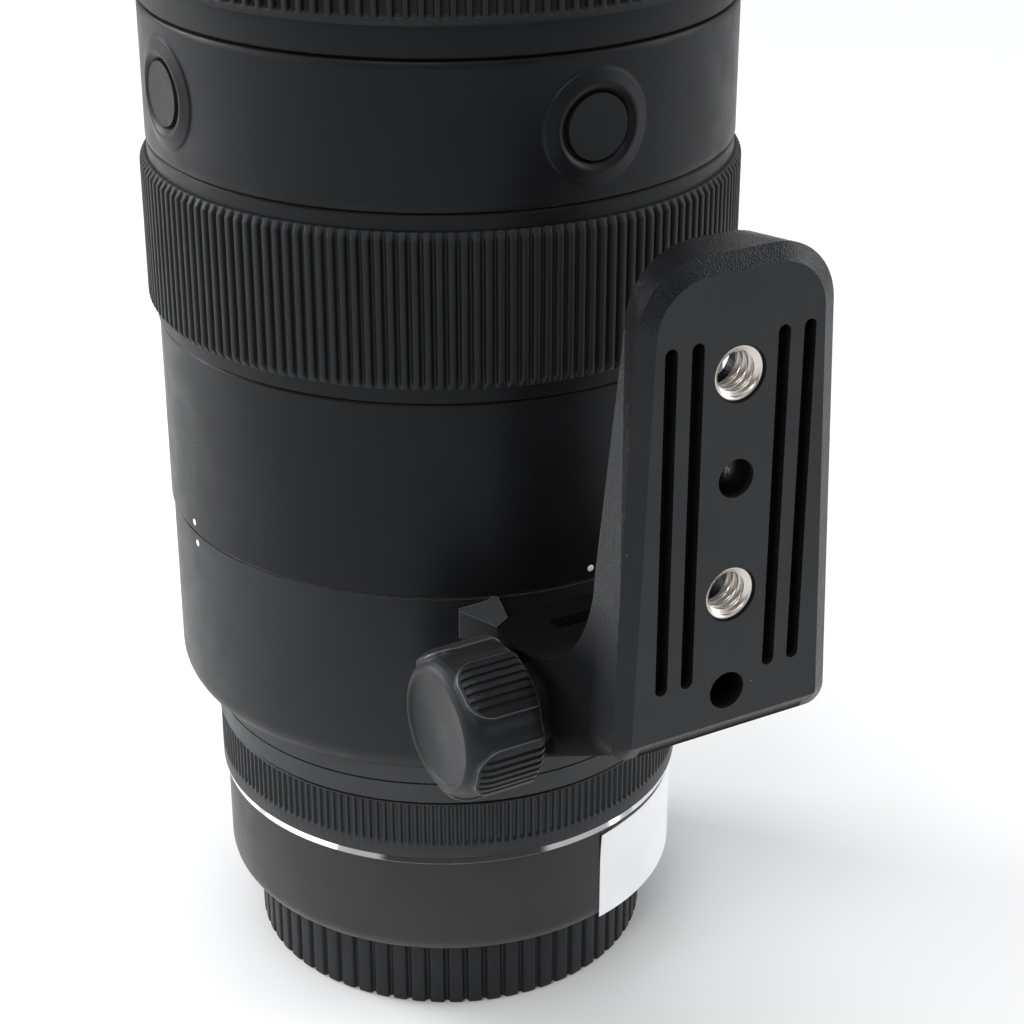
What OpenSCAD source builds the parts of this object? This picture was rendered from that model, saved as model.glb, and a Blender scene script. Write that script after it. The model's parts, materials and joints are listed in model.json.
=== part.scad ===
// Telephoto zoom lens standing on its rear cap, with a turning tripod collar and foot.
// Millimetres. +Z is the optical axis towards the front glass, the origin is the centre of
// the rear cap's underside, and the tripod foot points along -Y. Distances called "out" are
// measured from the optical axis along -Y.

/* [Section lengths] */
// Height of the mount flange above the underside of the rear cap
flange_z = 12; // [11:0.5:15]
// Rear barrel, from the mount flange to the silver trim ring
rear_len = 17.2; // [16:0.2:22]
// Silver trim ring
trim_len = 1.7; // [1:0.1:3]
// Control ring
control_len = 9; // [6:0.5:14]
// Fixed neck between the control ring and the tripod collar
neck_len = 7.1; // [6:0.1:12]
// Tripod collar
collar_len = 29.7; // [29:0.1:34]
// Fixed body between the tripod collar and the focus ring
body_len = 28.9; // [28:0.1:36]
// Focus ring with its plain bands
focus_len = 26.4; // [22:0.2:36]
// Band that carries the four function buttons
band_len = 19.9; // [18:0.1:28]
// Zoom ring with its plain bands
zoom_len = 52.1; // [50:0.1:64]
// Front barrel, from the zoom ring to the rim
front_len = 28; // [27:0.5:36]

/* [Outer radii] */
// Fixed body, which the tubes and rings are sized from
body_r = 41.6; // [40:0.1:44]
// Tripod collar, in from the body
collar_step = 0.3; // [0:0.1:0.6]
// Button band, out from the body
band_step = 0.4; // [0.1:0.1:1]
// Plain bands of the focus and zoom rings, out from the body
ring_step = 0.3; // [0:0.1:0.6]
// Focus ring's rubber, out from its plain bands
focus_grip_step = 1.1; // [0.8:0.1:1.6]
// Zoom ring's rubber, out from its plain bands
zoom_grip_step = 1.3; // [1:0.1:1.8]
// Rim of the front barrel, out from the zoom ring's plain bands
rim_step = 2.6; // [1.9:0.1:4]
// Fixed neck, in from the tripod collar
neck_step = 4.9; // [4.4:0.1:5.2]
// Rear barrel, in from the fixed neck
rear_step = 0.9; // [0.5:0.1:1.4]
// Silver trim ring, out from the rear barrel
trim_step = 0.4; // [0:0.1:1]
// Control ring over its ribs, out from the rear barrel
control_step = 0.7; // [0.3:0.1:1.2]

/* [Nested tubes] */
// Main tube that carries the rings, in from the body
body_wall = 3.3; // [3.1:0.1:3.6]
// Wall of the main tube
tube_wall = 2.1; // [1.8:0.1:2.2]
// Wall of the cam barrel
cam_wall = 2; // [1.6:0.1:2.2]
// Wall of the guide barrel
guide_wall = 1.9; // [1.6:0.1:2.2]
// Wall of the control ring under its ribs
control_wall = 2.45; // [2:0.05:2.8]
// Wall of the rear tube
bearing_wall = 2.6; // [2:0.1:3]
// Radial gap between a turning or sliding piece and its neighbour
run_gap = 0.3; // [0.2:0.05:0.4]
// Seam between neighbouring rings
seam = 0.25; // [0.2:0.05:0.5]
// Bevel on the edges of the rings
bevel = 0.25; // [0.2:0.05:0.6]

/* [Grips] */
// Ribs around the zoom ring
zoom_ribs = 138; // [120:2:150]
// Ribs around the focus ring
focus_ribs = 168; // [150:2:180]
// Ribs around the control ring
control_ribs = 192; // [160:2:200]
// Ribs around the rear cap
cap_ribs = 66; // [54:2:72]
// Depth of the zoom ring's ribs
zoom_rib_depth = 0.9; // [0.6:0.1:1]
// Depth of the focus ring's ribs
focus_rib_depth = 0.7; // [0.5:0.1:0.8]
// Depth of the control ring's ribs
control_rib_depth = 0.45; // [0.3:0.05:0.6]
// Depth of the rear cap's ribs
cap_rib_depth = 0.7; // [0.4:0.1:0.8]
// Plain band of the zoom ring behind its rubber
zoom_band = 4.4; // [3:0.2:7]
// Plain bands at both ends of the focus ring
focus_band = 2.2; // [1.5:0.1:4]

/* [Zoom mechanism] */
// Turn of the zoom ring from one end to the other, degrees
zoom_turn = 80; // [60:1:84]
// Travel of the front moving lens group
variator_travel = 28; // [20:1:29]
// Travel of the rear moving lens group
compensator_travel = 10; // [9:0.5:12]
// Radius of the follower pins
follower_r = 1.5; // [1.2:0.1:1.6]
// Clearance on each side of a follower pin in its slot
slot_gap = 0.25; // [0.15:0.05:0.3]
// Length of a moving lens cell
cell_len = 11; // [9:0.5:12]
// Width of the key between the zoom ring and the cam barrel
key_w = 6; // [4:0.5:8]
// Height of the key
key_h = 8; // [6:0.5:10]

/* [Focus group] */
// Travel of the focus group
focus_travel = 12; // [8:0.5:14]
// Radius of the two guide rods
rod_r = 1.5; // [1.2:0.1:2]
// Clearance of the rods in the focus cell
rod_fit = 0.05; // [0.02:0.01:0.1]
// Rods, in from the wall of the main tube
rod_inset = 9.2; // [8.2:0.1:10.2]
// Focus lens, in from the rods
focus_lens_step = 10; // [9:0.5:12]

/* [Front and rear glass] */
// Front element, in from the filter thread
front_glass_step = 1.9; // [1.5:0.1:3]
// Ring that carries the filter thread, which fits a 77 mm filter
filter_wall = 2.5; // [2.2:0.1:3]
// Length of the filter thread
filter_len = 5.5; // [4:0.5:7]
// Rear element, in from the mount's throat
rear_glass_step = 5.5; // [3.5:0.5:8]

/* [Buttons and switches] */
// Radius of the four function buttons
fn_r = 4.4; // [3.6:0.1:5]
// Radius of the buttons on the fixed body
small_r = 2.8; // [2.2:0.1:3.4]
// Travel of every button
press = 0.6; // [0.4:0.1:0.7]
// Gap around every button
button_gap = 0.35; // [0.2:0.05:0.5]
// Radius of the raised boss around a function button
boss_r = 7.6; // [7:0.1:8.4]
// Height of that boss
boss_h = 0.35; // [0.2:0.05:0.5]
// Radius of the lip on the boss
lip_r = 5.9; // [5.6:0.1:6.4]
// Height of the lip over the band
lip_h = 0.75; // [0.5:0.05:0.9]
// Height of a function button over the band
fn_proud = 0.3; // [0.1:0.05:0.5]
// Travel of the two switches
switch_travel = 4; // [3:0.5:5]
// Width of a switch's slider around the barrel
slider_w = 4.6; // [3.6:0.2:6]
// Length of a switch's slider along the barrel
slider_len = 6; // [5:0.5:8]

/* [Tripod foot] */
// Outer face of the foot, out from its seat on the collar
foot_reach = 30.3; // [28:0.1:35]
// Thickness of the foot's plate
foot_t = 7.3; // [6:0.1:9]
// Height of the foot's plate
foot_h = 66.2; // [62:0.1:74]
// Lower end of the plate above the lower end of the collar
foot_lift = 22; // [20:0.5:23]
// Half width of the plate at its lower end
foot_half_w = 16.7; // [15.4:0.1:17.4]
// Half width of the plate at its upper end
foot_half_top = 14.15; // [13.4:0.05:15]
// Radius of the plate's upper corners
foot_corner_r = 9.3; // [6:0.1:10]
// Radius of the plate's lower corners
foot_low_r = 2.6; // [2.4:0.1:4]
// Draft that narrows the back of the plate's upper end
foot_draft = 2.4; // [0:0.1:3]
// Width of the bevel around the outer face
foot_bevel_w = 2.2; // [1:0.1:2.4]
// Depth of the bevel around the outer face
foot_bevel_d = 1.3; // [0.8:0.1:2.6]
// Flat part of the neck, before the hollow that leads up to the plate
neck_flat = 5; // [3:0.5:9]
// Rounding of the neck's lower edges
neck_round = 4.5; // [2:0.1:6]
// Distance between the two threaded sockets, and between the two plain holes
socket_pitch = 30; // [28:0.5:32]
// Lower socket above the plate's lower end
socket_lift = 20.7; // [19:0.1:22]
// Lower plain hole above the plate's lower end
pin_hole_lift = 6.8; // [6:0.1:8]
// Wall radius of the threaded sockets, for a quarter inch camera screw
socket_r = 2.6; // [2.4:0.05:2.8]
// Outer radius of the steel inserts
insert_r = 3.5; // [3.3:0.1:3.8]
// Radius of the sink around an insert
sink_r = 3.8; // [3.7:0.1:4.6]
// Depth of the inserts below the outer face
insert_sunk = 0.4; // [0.2:0.1:1.6]
// Radius of the plain holes
pin_hole_r = 2.6; // [2.4:0.05:3]
// Width of the slots in the outer face
slot_w = 1.8; // [1.2:0.1:2.2]
// Depth of the slots
slot_depth = 2; // [1:0.1:3]

/* [Lock knob] */
// Radius over the knob's pads
knob_r = 10.5; // [9.5:0.1:10.8]
// Length of the knob
knob_len = 11.3; // [10:0.1:14]
// Knob axis, out from the foot's seat on the collar
knob_inset = 7.3; // [7:0.1:8]
// Knob axis above the lower end of the collar
knob_lift = 19.9; // [19.5:0.1:20.2]
// Inner end of the knob, out from the side of the foot
knob_stand = 2.2; // [2:0.1:3]
// Radius of the knob's screw
screw_r = 3; // [2.5:0.1:3.5]
// Clearance of the screw in the foot
screw_fit = 0.05; // [0.02:0.01:0.1]

/* [Mount and rear cap] */
// Wall of the mount's spigot, around its throat
spigot_wall = 3.8; // [3:0.1:4]
// Length of the spigot below the flange
spigot_len = 6; // [5:0.1:7]
// Bayonet lugs, out from the spigot
lug_reach = 1.9; // [1.4:0.1:2.1]
// Thickness of the bayonet lugs
lug_t = 1.8; // [1.4:0.1:2]
// Angle that each bayonet lug takes up, degrees
lug_arc = 38; // [30:1:40]
// Mount flange, out from the spigot
flange_ledge = 4.7; // [4.5:0.1:5.2]
// Gasket around the mount flange
gasket_w = 1; // [0.8:0.1:1.4]
// Rear cap over its ribs, out from the bayonet lugs
cap_wall = 2.9; // [2.7:0.1:3.6]
// Thickness of the mount flange
flange_t = 2.5; // [2:0.1:3]
// Rounding of the rear barrel's lower edge
rear_round = 3.5; // [2:0.1:4]

/* [Hidden] */
$fn = 96;
over = 1;
right_angle = 90;

z_trim = flange_z + rear_len;
z_control = z_trim + trim_len;
z_neck = z_control + control_len;
z_collar = z_neck + neck_len;
z_body = z_collar + collar_len;
z_focus = z_body + body_len;
z_band = z_focus + focus_len;
z_zoom = z_band + band_len;
z_front = z_zoom + zoom_len;
z_rim = z_front + front_len;

// Outer radii
collar_r = body_r - collar_step;
band_r = body_r + band_step;
ring_r = body_r + ring_step;
focus_grip_r = ring_r + focus_grip_step;
zoom_grip_r = ring_r + zoom_grip_step;
rim_r = ring_r + rim_step;
neck_r = collar_r - neck_step;
rear_r = neck_r - rear_step;
trim_r = rear_r + trim_step;
control_r = rear_r + control_step;
flange_r = rear_r - rear_round - gasket_w;
spigot_r = flange_r - flange_ledge;
throat_r = spigot_r - spigot_wall;
lug_r = spigot_r + lug_reach;
cap_r = lug_r + cap_wall;

// Nested tubes, from the outside in
tube_r = body_r - body_wall;
tube_in = tube_r - tube_wall;
cam_r = tube_in - run_gap;
cam_in = cam_r - cam_wall;
guide_r = cam_in - run_gap;
guide_in = guide_r - guide_wall;
cell_r = guide_in - run_gap;
ring_bore = tube_r + run_gap;
bearing_r = control_r - control_rib_depth - control_wall - run_gap;
bearing_in = bearing_r - bearing_wall;
sleeve_wall = 2;
seat_r = ring_bore + sleeve_wall;

// Ends of the fixed pieces along the axis
half_seam = seam / 2;
collar_floor = 3.2;
z_tube = z_collar + collar_floor + seam;
tube_spigot = 5.5;
z_bulk = z_tube + tube_spigot;
bulk_t = 3;
rear_cell_lift = 4;
rear_cell_len = 16;
z_rear_cell = flange_z + flange_t + rear_cell_lift;
focus_cell_lift = 4;
focus_cell_len = 9;
focus_spare = 9;
z_focus_cell = z_bulk + focus_cell_lift;
focus_room = focus_cell_lift + focus_cell_len + focus_travel + focus_spare;
z_mid = z_bulk + focus_room;
z_iris = z_mid + bulk_t;
iris_len = 6;
z_stab = z_iris + iris_len;
stab_len = 12;
cell_gap = 3;
z_comp = z_stab + stab_len + cell_gap;
z_vari = z_comp + cell_len + cell_gap;
tube_nose = 6;
z_tube_end = z_front + tube_nose;
key_lift = 36;
z_key = z_zoom + key_lift;
slot_spare = 0.3;
slot_end = follower_r + slot_gap + slot_spare;
z_cam = z_comp + cell_len / 2 - slot_end - cell_gap;
z_cam_end = z_key + key_h / 2 + cell_gap;
aperture_step = 18.2;
aperture_r = tube_in - aperture_step;
zoom_front_band = 3;
zoom_grip_z = z_zoom + half_seam + zoom_band;
zoom_grip_end = z_front - half_seam - zoom_front_band;
focus_grip_z = z_focus + half_seam + focus_band;
focus_grip_end = z_band - half_seam - focus_band;

// Front end
glass_ledge = 3;
glass_edge = 6;
front_lip = 1.5;
rim_wall = 3.9;
z_ledge = z_tube_end + glass_ledge;
z_glass = z_ledge + glass_edge;
z_filter = z_rim - filter_len;
z_ring = z_filter - front_lip;
nose_r = rim_r - rim_wall;
filter_r = nose_r - filter_wall;
front_glass_r = filter_r - front_glass_step;
rear_glass_r = throat_r - rear_glass_step;

// Moving lens groups
variator_wall = 7.4;
compensator_wall = 6.4;
variator_r = cell_r - variator_wall;
compensator_r = cell_r - compensator_wall;
rod_out = tube_in - rod_inset;
focus_lens_r = rod_out - focus_lens_step;
group_edge = 5;
pin_seat = 3;

// Azimuths around the barrel, in degrees from +X; the foot is at -90
foot_az = -90;
display_az = 90;
side_button_az = 45;
display_button_az = 124;
switch_az = 0;
key_az = 60;
variator_az = 30;
compensator_az = 90;
followers = 3;
fn_count = 4;

// Buttons
flange_w = 0.8;
press_spare = 0.15;
button_proud = 0.35;
pocket_depth = 1.7;
pocket_r = tube_r + pocket_depth;
flange_gap = 0.05;
lip_w = 0.7;
fn_top = band_r + fn_proud;
small_top = body_r + button_proud;
z_fn = z_band + band_len / 2;
z_controls = z_body + body_len / 2;

// Switches
slider_gap = 0.3;
slider_y = 8;
slider_floor = 1.2;
slider_proud = 1.6;
slider_in = tube_r + slider_floor;
slider_top = body_r + slider_proud;
panel_t = 0.6;
panel_w = 36.3;
panel_arc = panel_w * 180 / (PI * body_r);
panel_edge = 3.5;
display_w = 24.7;
display_arc = display_w * 180 / (PI * body_r);
display_depth = 1.2;
display_h = 15;
display_sunk = 0.1;

// Foot
saddle_out = 3.7;
saddle_sunk = 2.1;
foot_seat = collar_r + saddle_out;
saddle_in = collar_r - saddle_sunk;
foot_out = foot_seat + foot_reach;
foot_back = foot_out - foot_t;
bevel_out = foot_out - foot_bevel_d;
foot_fillet = foot_back - foot_seat - neck_flat;
z_foot = z_collar + foot_lift;
z_foot_top = z_foot + foot_h;
foot_slope = (foot_half_top - foot_half_w) / foot_h;
foot_taper = sqrt(1 + foot_slope * foot_slope);
neck_rise = 5.6;
neck_drop = 15.5;
neck_inset = 0.05;
z_neck_top = z_foot + neck_rise;
z_neck_low = z_foot - neck_drop;
foot_chin = 0.5;
chin_out = bevel_out - foot_chin;
neck_run = chin_out - foot_seat;
neck_angle = atan(neck_drop / neck_run);
shoulder_w = 3.5;
shoulder_step = 0.6;
tongue_inset = 3.8;
tongue_t = 2.7;
tongue_gap = 0.8;
tongue_out = collar_r + tongue_gap;
tongue_half = foot_half_w - tongue_inset;
saddle_inset = 0.9;
saddle_half = tongue_half - saddle_inset;
saddle_foot = 2;
ear_t = 4.2;
ear_gap = 0.3;
ear_tip = 1.7;
ear_reach = 5.1;
ear_drop = 4.5;
ear_root = 2;
ear_pitch = 32.9;
ear_roll = 32.3;
slot_insets = [7.85, 4];
slot_top_gap = 11.2;
slot_low_gap = 9.7;
latch_inset = 3.9;
latch_half = tongue_half - latch_inset;
latch_gap = 0.8;
latch_w = 2.6;
latch_depth = 1.6;

// Knob
knob_out = foot_seat + knob_inset;
z_knob = z_collar + knob_lift;
knob_pocket_r = 7.6;
knob_pocket_t = 1.7;
knob_pocket_x = foot_half_w - knob_pocket_t;
knob_gap_x = foot_half_w + knob_stand;
screw_end = 9;
knob_pads = 5;
knob_pad_az = -35;
pad_grooves = 6;
groove_step = 6.4;
groove_r = 0.42;
flute_arc = 24;
flute_depth = 0.5;
knob_chamfer = 1.5;
knob_nose = 3.3;
knob_crown = 1.3;
knob_crown_in = 0.7;
knob_rim_in = 2.3;
knob_cap_in = 3.2;
knob_cap_r = knob_r - knob_cap_in;
knob_cap_t = 0.7;
knob_cap_sunk = 0.4;

// Bayonet and rear cap
lugs = 4;
lug_az = 45;
cap_lug_room = 0.8;
cap_lug_root = 0.5;
cap_collar = 2.8;
cap_wall_in = lug_r + cap_lug_room;
cap_floor = 1.8;
cap_rib_end = flange_z - cap_collar;
cap_top = flange_z - seam;
cap_step = 0.15;
cap_core_r = cap_r - cap_rib_depth - cap_step;

// Shared shapes

function polar(r, a) = [r * cos(a), r * sin(a)];

// Outline of a ring of trapezoid ribs, four points to a rib
function rib_points(count, root, tip) =
  let (step = 360 / count, corners = [[root, 0.14], [tip, 0.30], [tip, 0.70], [root, 0.86]])
  [for (i = [0 : count - 1]) for (c = corners) polar(c[0], (i + c[1]) * step)];

module ring(r_in, r_out, z0, z1) {
  translate([0, 0, z0]) rotate_extrude() translate([r_in, 0]) square([r_out - r_in, z1 - z0]);
}

// Ring with bevelled outer edges
module bevelled_ring(r_in, r_out, z0, z1) {
  rotate_extrude() polygon([
    [r_in, z0], [r_out - bevel, z0], [r_out, z0 + bevel],
    [r_out, z1 - bevel], [r_out - bevel, z1], [r_in, z1]
  ]);
}

module ribbed_ring(count, bore, tip, depth, z0, z1) {
  translate([0, 0, z0]) linear_extrude(z1 - z0) difference() {
    polygon(rib_points(count, tip - depth, tip));
    circle(bore);
  }
}

// Part of a ring, centred on an azimuth
module ring_arc(r_in, r_out, z0, z1, az, arc) {
  translate([0, 0, z0]) rotate([0, 0, az - arc / 2]) rotate_extrude(angle = arc)
    translate([r_in, 0]) square([r_out - r_in, z1 - z0]);
}

// Sleeve with a seat for a rubber grip between two plain bands
module grip_sleeve(z0, z1, g0, g1) {
  rotate_extrude() polygon([
    [ring_bore, z0], [ring_r - bevel, z0], [ring_r, z0 + bevel], [ring_r, g0], [seat_r, g0],
    [seat_r, g1], [ring_r, g1], [ring_r, z1 - bevel], [ring_r - bevel, z1], [ring_bore, z1]
  ]);
}

// Cylinder along +X
module radial_cylinder(r, x0, x1) {
  translate([x0, 0, 0]) rotate([0, right_angle, 0]) cylinder(r = r, h = x1 - x0);
}

// Cylinder through the foot's plate, between two distances out
module out_cylinder(r, z, n0, n1) {
  translate([0, -n0, z]) rotate([right_angle, 0, 0]) cylinder(r = r, h = n1 - n0);
}

// Spherical cap on a flat base at z = 0
module dome(r, h) {
  sphere_r = (r * r + h * h) / (2 * h);
  steps = 16 * 360 / asin(r / sphere_r);
  rotate_extrude() intersection() {
    translate([0, h - sphere_r]) circle(sphere_r, $fn = ceil(steps));
    square([r, h]);
  }
}

// Round glass with a straight edge; a negative bulge is hollow
module glass(r, edge, front_bulge, back_bulge) {
  difference() {
    union() {
      cylinder(r = r, h = edge);
      if (front_bulge > 0) translate([0, 0, edge]) dome(r - over, front_bulge);
      if (back_bulge > 0) mirror([0, 0, 1]) dome(r - over, back_bulge);
    }
    if (front_bulge < 0) translate([0, 0, edge]) mirror([0, 0, 1]) dome(r - over, -front_bulge);
    if (back_bulge < 0) dome(r - over, -back_bulge);
  }
}

// Push button with a flange that keeps it behind the skin, along +X
module push_button(r, top) {
  radial_cylinder(r, pocket_r - flange_gap - over, top);
  radial_cylinder(r + flange_w, tube_r + press + press_spare, pocket_r - flange_gap);
}

// Bore, pocket and lip for a push button
module button_bore(r, skin) {
  hole_r = r + button_gap;
  radial_cylinder(hole_r, tube_r, skin + over);
  radial_cylinder(r + flange_w + button_gap, tube_r - over, pocket_r);
  translate([skin - lip_w, 0, 0]) rotate([0, right_angle, 0])
    cylinder(r1 = hole_r, r2 = hole_r + 2 * lip_w, h = 2 * lip_w);
}

// Raised disc that follows the curve of the button band
module boss(r, h) {
  intersection() {
    radial_cylinder(r, tube_r + over, band_r + h + over);
    ring(tube_r + over / 2, band_r + h, -2 * r, 2 * r);
  }
}

module at_fn_buttons() {
  for (i = [0 : fn_count - 1])
    translate([0, 0, z_fn]) rotate([0, 0, foot_az + i * 360 / fn_count]) children();
}

// Slot that runs straight along a tube for a follower pin
module straight_slot(az, z0, travel) {
  rotate([0, 0, az]) translate([guide_in - over, -follower_r - slot_gap, z0 - slot_end])
    cube([guide_wall + 2 * over, 2 * (follower_r + slot_gap), travel + 2 * slot_end]);
}

// Slot that climbs around a tube for a follower pin, which rises as the tube turns
module helical_slot(az, z0, travel) {
  mid_r = cam_r - cam_wall / 2;
  lead_angle = atan(travel / (mid_r * zoom_turn * PI / 180));
  width = 2 * (follower_r + slot_gap) / sin(lead_angle);
  height = travel + 2 * slot_end;
  turn_end = zoom_turn * slot_end / travel;
  translate([0, 0, z0 - slot_end]) rotate([0, 0, az + turn_end])
    linear_extrude(height, twist = zoom_turn + 2 * turn_end, slices = 16, segments = 1)
      translate([cam_in - over, -width / 2]) square([cam_wall + 2 * over, width]);
}

// Lens cell that slides in the guide barrel on radial pins
module sliding_cell(z0, az, bore) {
  difference() {
    ring(bore, cell_r, z0, z0 + cell_len);
    follower_pins(z0, az);
  }
}

module follower_pins(z0, az) {
  for (i = [0 : followers - 1])
    translate([0, 0, z0 + cell_len / 2]) rotate([0, 0, az + i * 360 / followers])
      radial_cylinder(follower_r, cell_r - pin_seat, cam_r - run_gap);
}

// Fixed pieces, from the rear

module lens_mount() {
  color("silver") difference() {
    union() {
      ring(throat_r, flange_r, flange_z, flange_z + flange_t);
      ring(throat_r, spigot_r, flange_z - spigot_len, flange_z);
      for (i = [0 : lugs - 1])
        ring_arc(spigot_r - over, lug_r, flange_z - spigot_len, flange_z - spigot_len + lug_t,
          lug_az + i * 360 / lugs, lug_arc);
    }
    mount_screws();
  }
}

module mount_screws() {
  head_r = 1.6;
  shank_r = 0.9;
  head_t = 1;
  pitch_r = (spigot_r + flange_r) / 2;
  color("gainsboro") for (i = [0 : lugs - 1])
    rotate([0, 0, i * 360 / lugs]) translate([pitch_r, 0, flange_z]) {
      cylinder(r = head_r, h = head_t);
      cylinder(r = shank_r, h = flange_t);
    }
}

module mount_gasket() {
  thickness = 0.6;
  inner_gap = 0.15;
  color("black") ring(flange_r + inner_gap, rear_r - rear_round, flange_z - thickness, flange_z);
}

module contact_block() {
  half_w = 11;
  depth = 3.6;
  height = 4;
  low = flange_z - spigot_len + over;
  color("dimgray") intersection() {
    cylinder(r = throat_r, h = z_trim);
    translate([-half_w, -throat_r, low]) cube([2 * half_w, depth, height]);
  }
}

module rear_baffle() {
  thickness = 1.5;
  gate_rim = 2.5;
  gate_aspect = 4 / 3;
  gate_h = 2 * (throat_r - gate_rim) / sqrt(1 + gate_aspect * gate_aspect);
  color("black") translate([0, 0, flange_z]) linear_extrude(thickness) difference() {
    circle(throat_r);
    square([gate_aspect * gate_h, gate_h], center = true);
  }
}

module rear_barrel() {
  lip_z = flange_z + flange_t;
  color("#2a2725") rotate_extrude() difference() {
    union() {
      translate([flange_r, flange_z + rear_round])
        square([rear_r - flange_r, rear_len - rear_round]);
      translate([flange_r, flange_z]) square([rear_r - rear_round - flange_r, rear_round]);
      translate([rear_r - rear_round, flange_z + rear_round]) circle(rear_round);
    }
    square([flange_r, lip_z]);
    translate([0, lip_z]) square([bearing_r, z_trim]);
  }
}

module trim_ring() {
  color("silver") bevelled_ring(bearing_r, trim_r, z_trim, z_control - half_seam);
}

module rear_tube() {
  low = flange_z + flange_t;
  groove_lift = 3.4;
  groove_depth = 0.35;
  color("#1c1c1c") rotate_extrude() difference() {
    polygon([
      [bearing_in, low], [bearing_r, low], [bearing_r, z_neck + half_seam],
      [neck_r - bevel, z_neck + half_seam], [neck_r, z_neck + half_seam + bevel],
      [neck_r, z_tube], [tube_in, z_tube], [tube_in, z_bulk],
      [aperture_r, z_bulk], [aperture_r, z_bulk - bulk_t], [bearing_in, z_bulk - bulk_t]
    ]);
    translate([neck_r - groove_depth, z_neck + groove_lift]) square([over, seam]);
  }
}

module rear_cell() {
  color("black") ring(rear_glass_r, bearing_in, z_rear_cell, z_rear_cell + rear_cell_len);
}

module rear_element() {
  edge = 7;
  front_bulge = 3;
  back_bulge = 1.5;
  color("lightcyan", 0.5) translate([0, 0, z_rear_cell + 2 * back_bulge - over])
    glass(rear_glass_r, edge, front_bulge, back_bulge);
}

module main_tube() {
  key_spare = 2;
  key_arc = 2 * asin(key_w / 2 / tube_in) + key_spare;
  color("#26282a") difference() {
    ring(tube_in, tube_r, z_tube, z_tube_end);
    ring_arc(tube_in - over, tube_r + over, z_key - key_h / 2 - run_gap,
      z_key + key_h / 2 + run_gap, key_az + zoom_turn / 2, zoom_turn + key_arc);
  }
}

module body_shell() {
  color("#202224") difference() {
    bevelled_ring(tube_r, body_r, z_body + half_seam, z_focus - half_seam);
    ring_arc(body_r - display_depth, body_r + over, z_controls - display_h / 2,
      z_controls + display_h / 2, display_az, display_arc);
    translate([0, 0, z_controls]) {
      rotate([0, 0, side_button_az]) button_bore(small_r, body_r);
      rotate([0, 0, display_button_az]) button_bore(small_r, body_r);
    }
    switch_windows();
  }
}

module display_window() {
  color("#0c1016") ring_arc(body_r - display_depth, body_r - display_sunk, z_controls - display_h / 2,
    z_controls + display_h / 2, display_az, display_arc);
}

module switch_windows() {
  length = slider_len + switch_travel + 2 * slider_gap;
  width = slider_w + 2 * slider_gap;
  for (y = [-slider_y, slider_y])
    translate([slider_in - slider_gap, y - width / 2, z_controls - length / 2])
      cube([body_r, width, length]);
}

module switch_plate() {
  color("#18191b") difference() {
    ring_arc(body_r, body_r + panel_t, z_body + panel_edge, z_focus - panel_edge, switch_az, panel_arc);
    switch_windows();
  }
}

module button_band() {
  color("#222426") difference() {
    union() {
      bevelled_ring(tube_r, band_r, z_band + half_seam, z_zoom - half_seam);
      at_fn_buttons() {
        boss(boss_r, boss_h);
        boss(lip_r, lip_h);
      }
    }
    at_fn_buttons() button_bore(fn_r, band_r + lip_h);
  }
}

module guide_barrel() {
  flange_h = 3;
  color("dimgray") difference() {
    union() {
      ring(guide_in, guide_r, z_iris, z_tube_end);
      ring(guide_in, tube_in, z_tube_end - flange_h, z_tube_end);
    }
    for (i = [0 : followers - 1]) {
      straight_slot(variator_az + i * 360 / followers, z_vari + cell_len / 2, variator_travel);
      straight_slot(compensator_az + i * 360 / followers, z_comp + cell_len / 2, compensator_travel);
    }
  }
}

module mid_plate() {
  color("dimgray") ring(aperture_r, tube_in, z_mid, z_iris);
}

module iris_unit() {
  side_gap = 2;
  blade_lap = 4;
  color("black") ring(aperture_r - blade_lap, guide_in - side_gap, z_iris, z_stab);
}

module stabiliser_unit() {
  side_gap = 1;
  lens_lap = 2;
  color("darkgreen") ring(aperture_r - lens_lap, guide_in - side_gap, z_stab, z_stab + stab_len);
}

module focus_rods() {
  color("silver") for (side = [-1, 1])
    translate([side * rod_out, 0, z_bulk]) cylinder(r = rod_r, h = focus_room);
}

module focus_motor() {
  motor_w = 12;
  motor_t = 7;
  motor_len = 26;
  color("darkslategray") for (side = [-1, 1])
    translate([0, side * rod_out, z_bulk + motor_len / 2]) cube([motor_w, motor_t, motor_len], center = true);
}

// Fixed pieces at the front

module front_barrel() {
  z0 = z_front + half_seam;
  flare = 9;
  hood_gap = 6;
  hood_z = z_rim - hood_gap;
  hood_w = 2.6;
  hood_depth = 1.2;
  hood_entries = 3;
  entry_arc = 22;
  entry_depth = 1;
  color("#1f2123") difference() {
    rotate_extrude() polygon([
      [tube_r, z0], [ring_r - bevel, z0], [ring_r, z0 + bevel], [rim_r, z0 + flare],
      [rim_r, z_rim - bevel], [rim_r - bevel, z_rim], [nose_r, z_rim], [nose_r, z_tube_end],
      [tube_r, z_tube_end]
    ]);
    ring(rim_r - hood_depth, rim_r + over, hood_z, hood_z + hood_w);
    for (i = [0 : hood_entries - 1])
      ring_arc(rim_r - entry_depth, rim_r + over, hood_z + hood_w / 2, z_rim + over,
        i * 360 / hood_entries, entry_arc);
  }
}

module filter_ring() {
  color("#17181a") ring(filter_r, nose_r, z_filter, z_rim);
}

module front_cell() {
  ledge_w = 2;
  ledge_r = front_glass_r - ledge_w;
  color("black") rotate_extrude() polygon([
    [ledge_r, z_tube_end], [nose_r, z_tube_end], [nose_r, z_ring],
    [front_glass_r, z_ring], [front_glass_r, z_ledge], [ledge_r, z_ledge]
  ]);
}

module front_element() {
  front_bulge = 4.5;
  back_hollow = 3;
  color("lightcyan", 0.5) translate([0, 0, z_ledge])
    glass(front_glass_r, glass_edge, front_bulge, -back_hollow);
}

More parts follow.
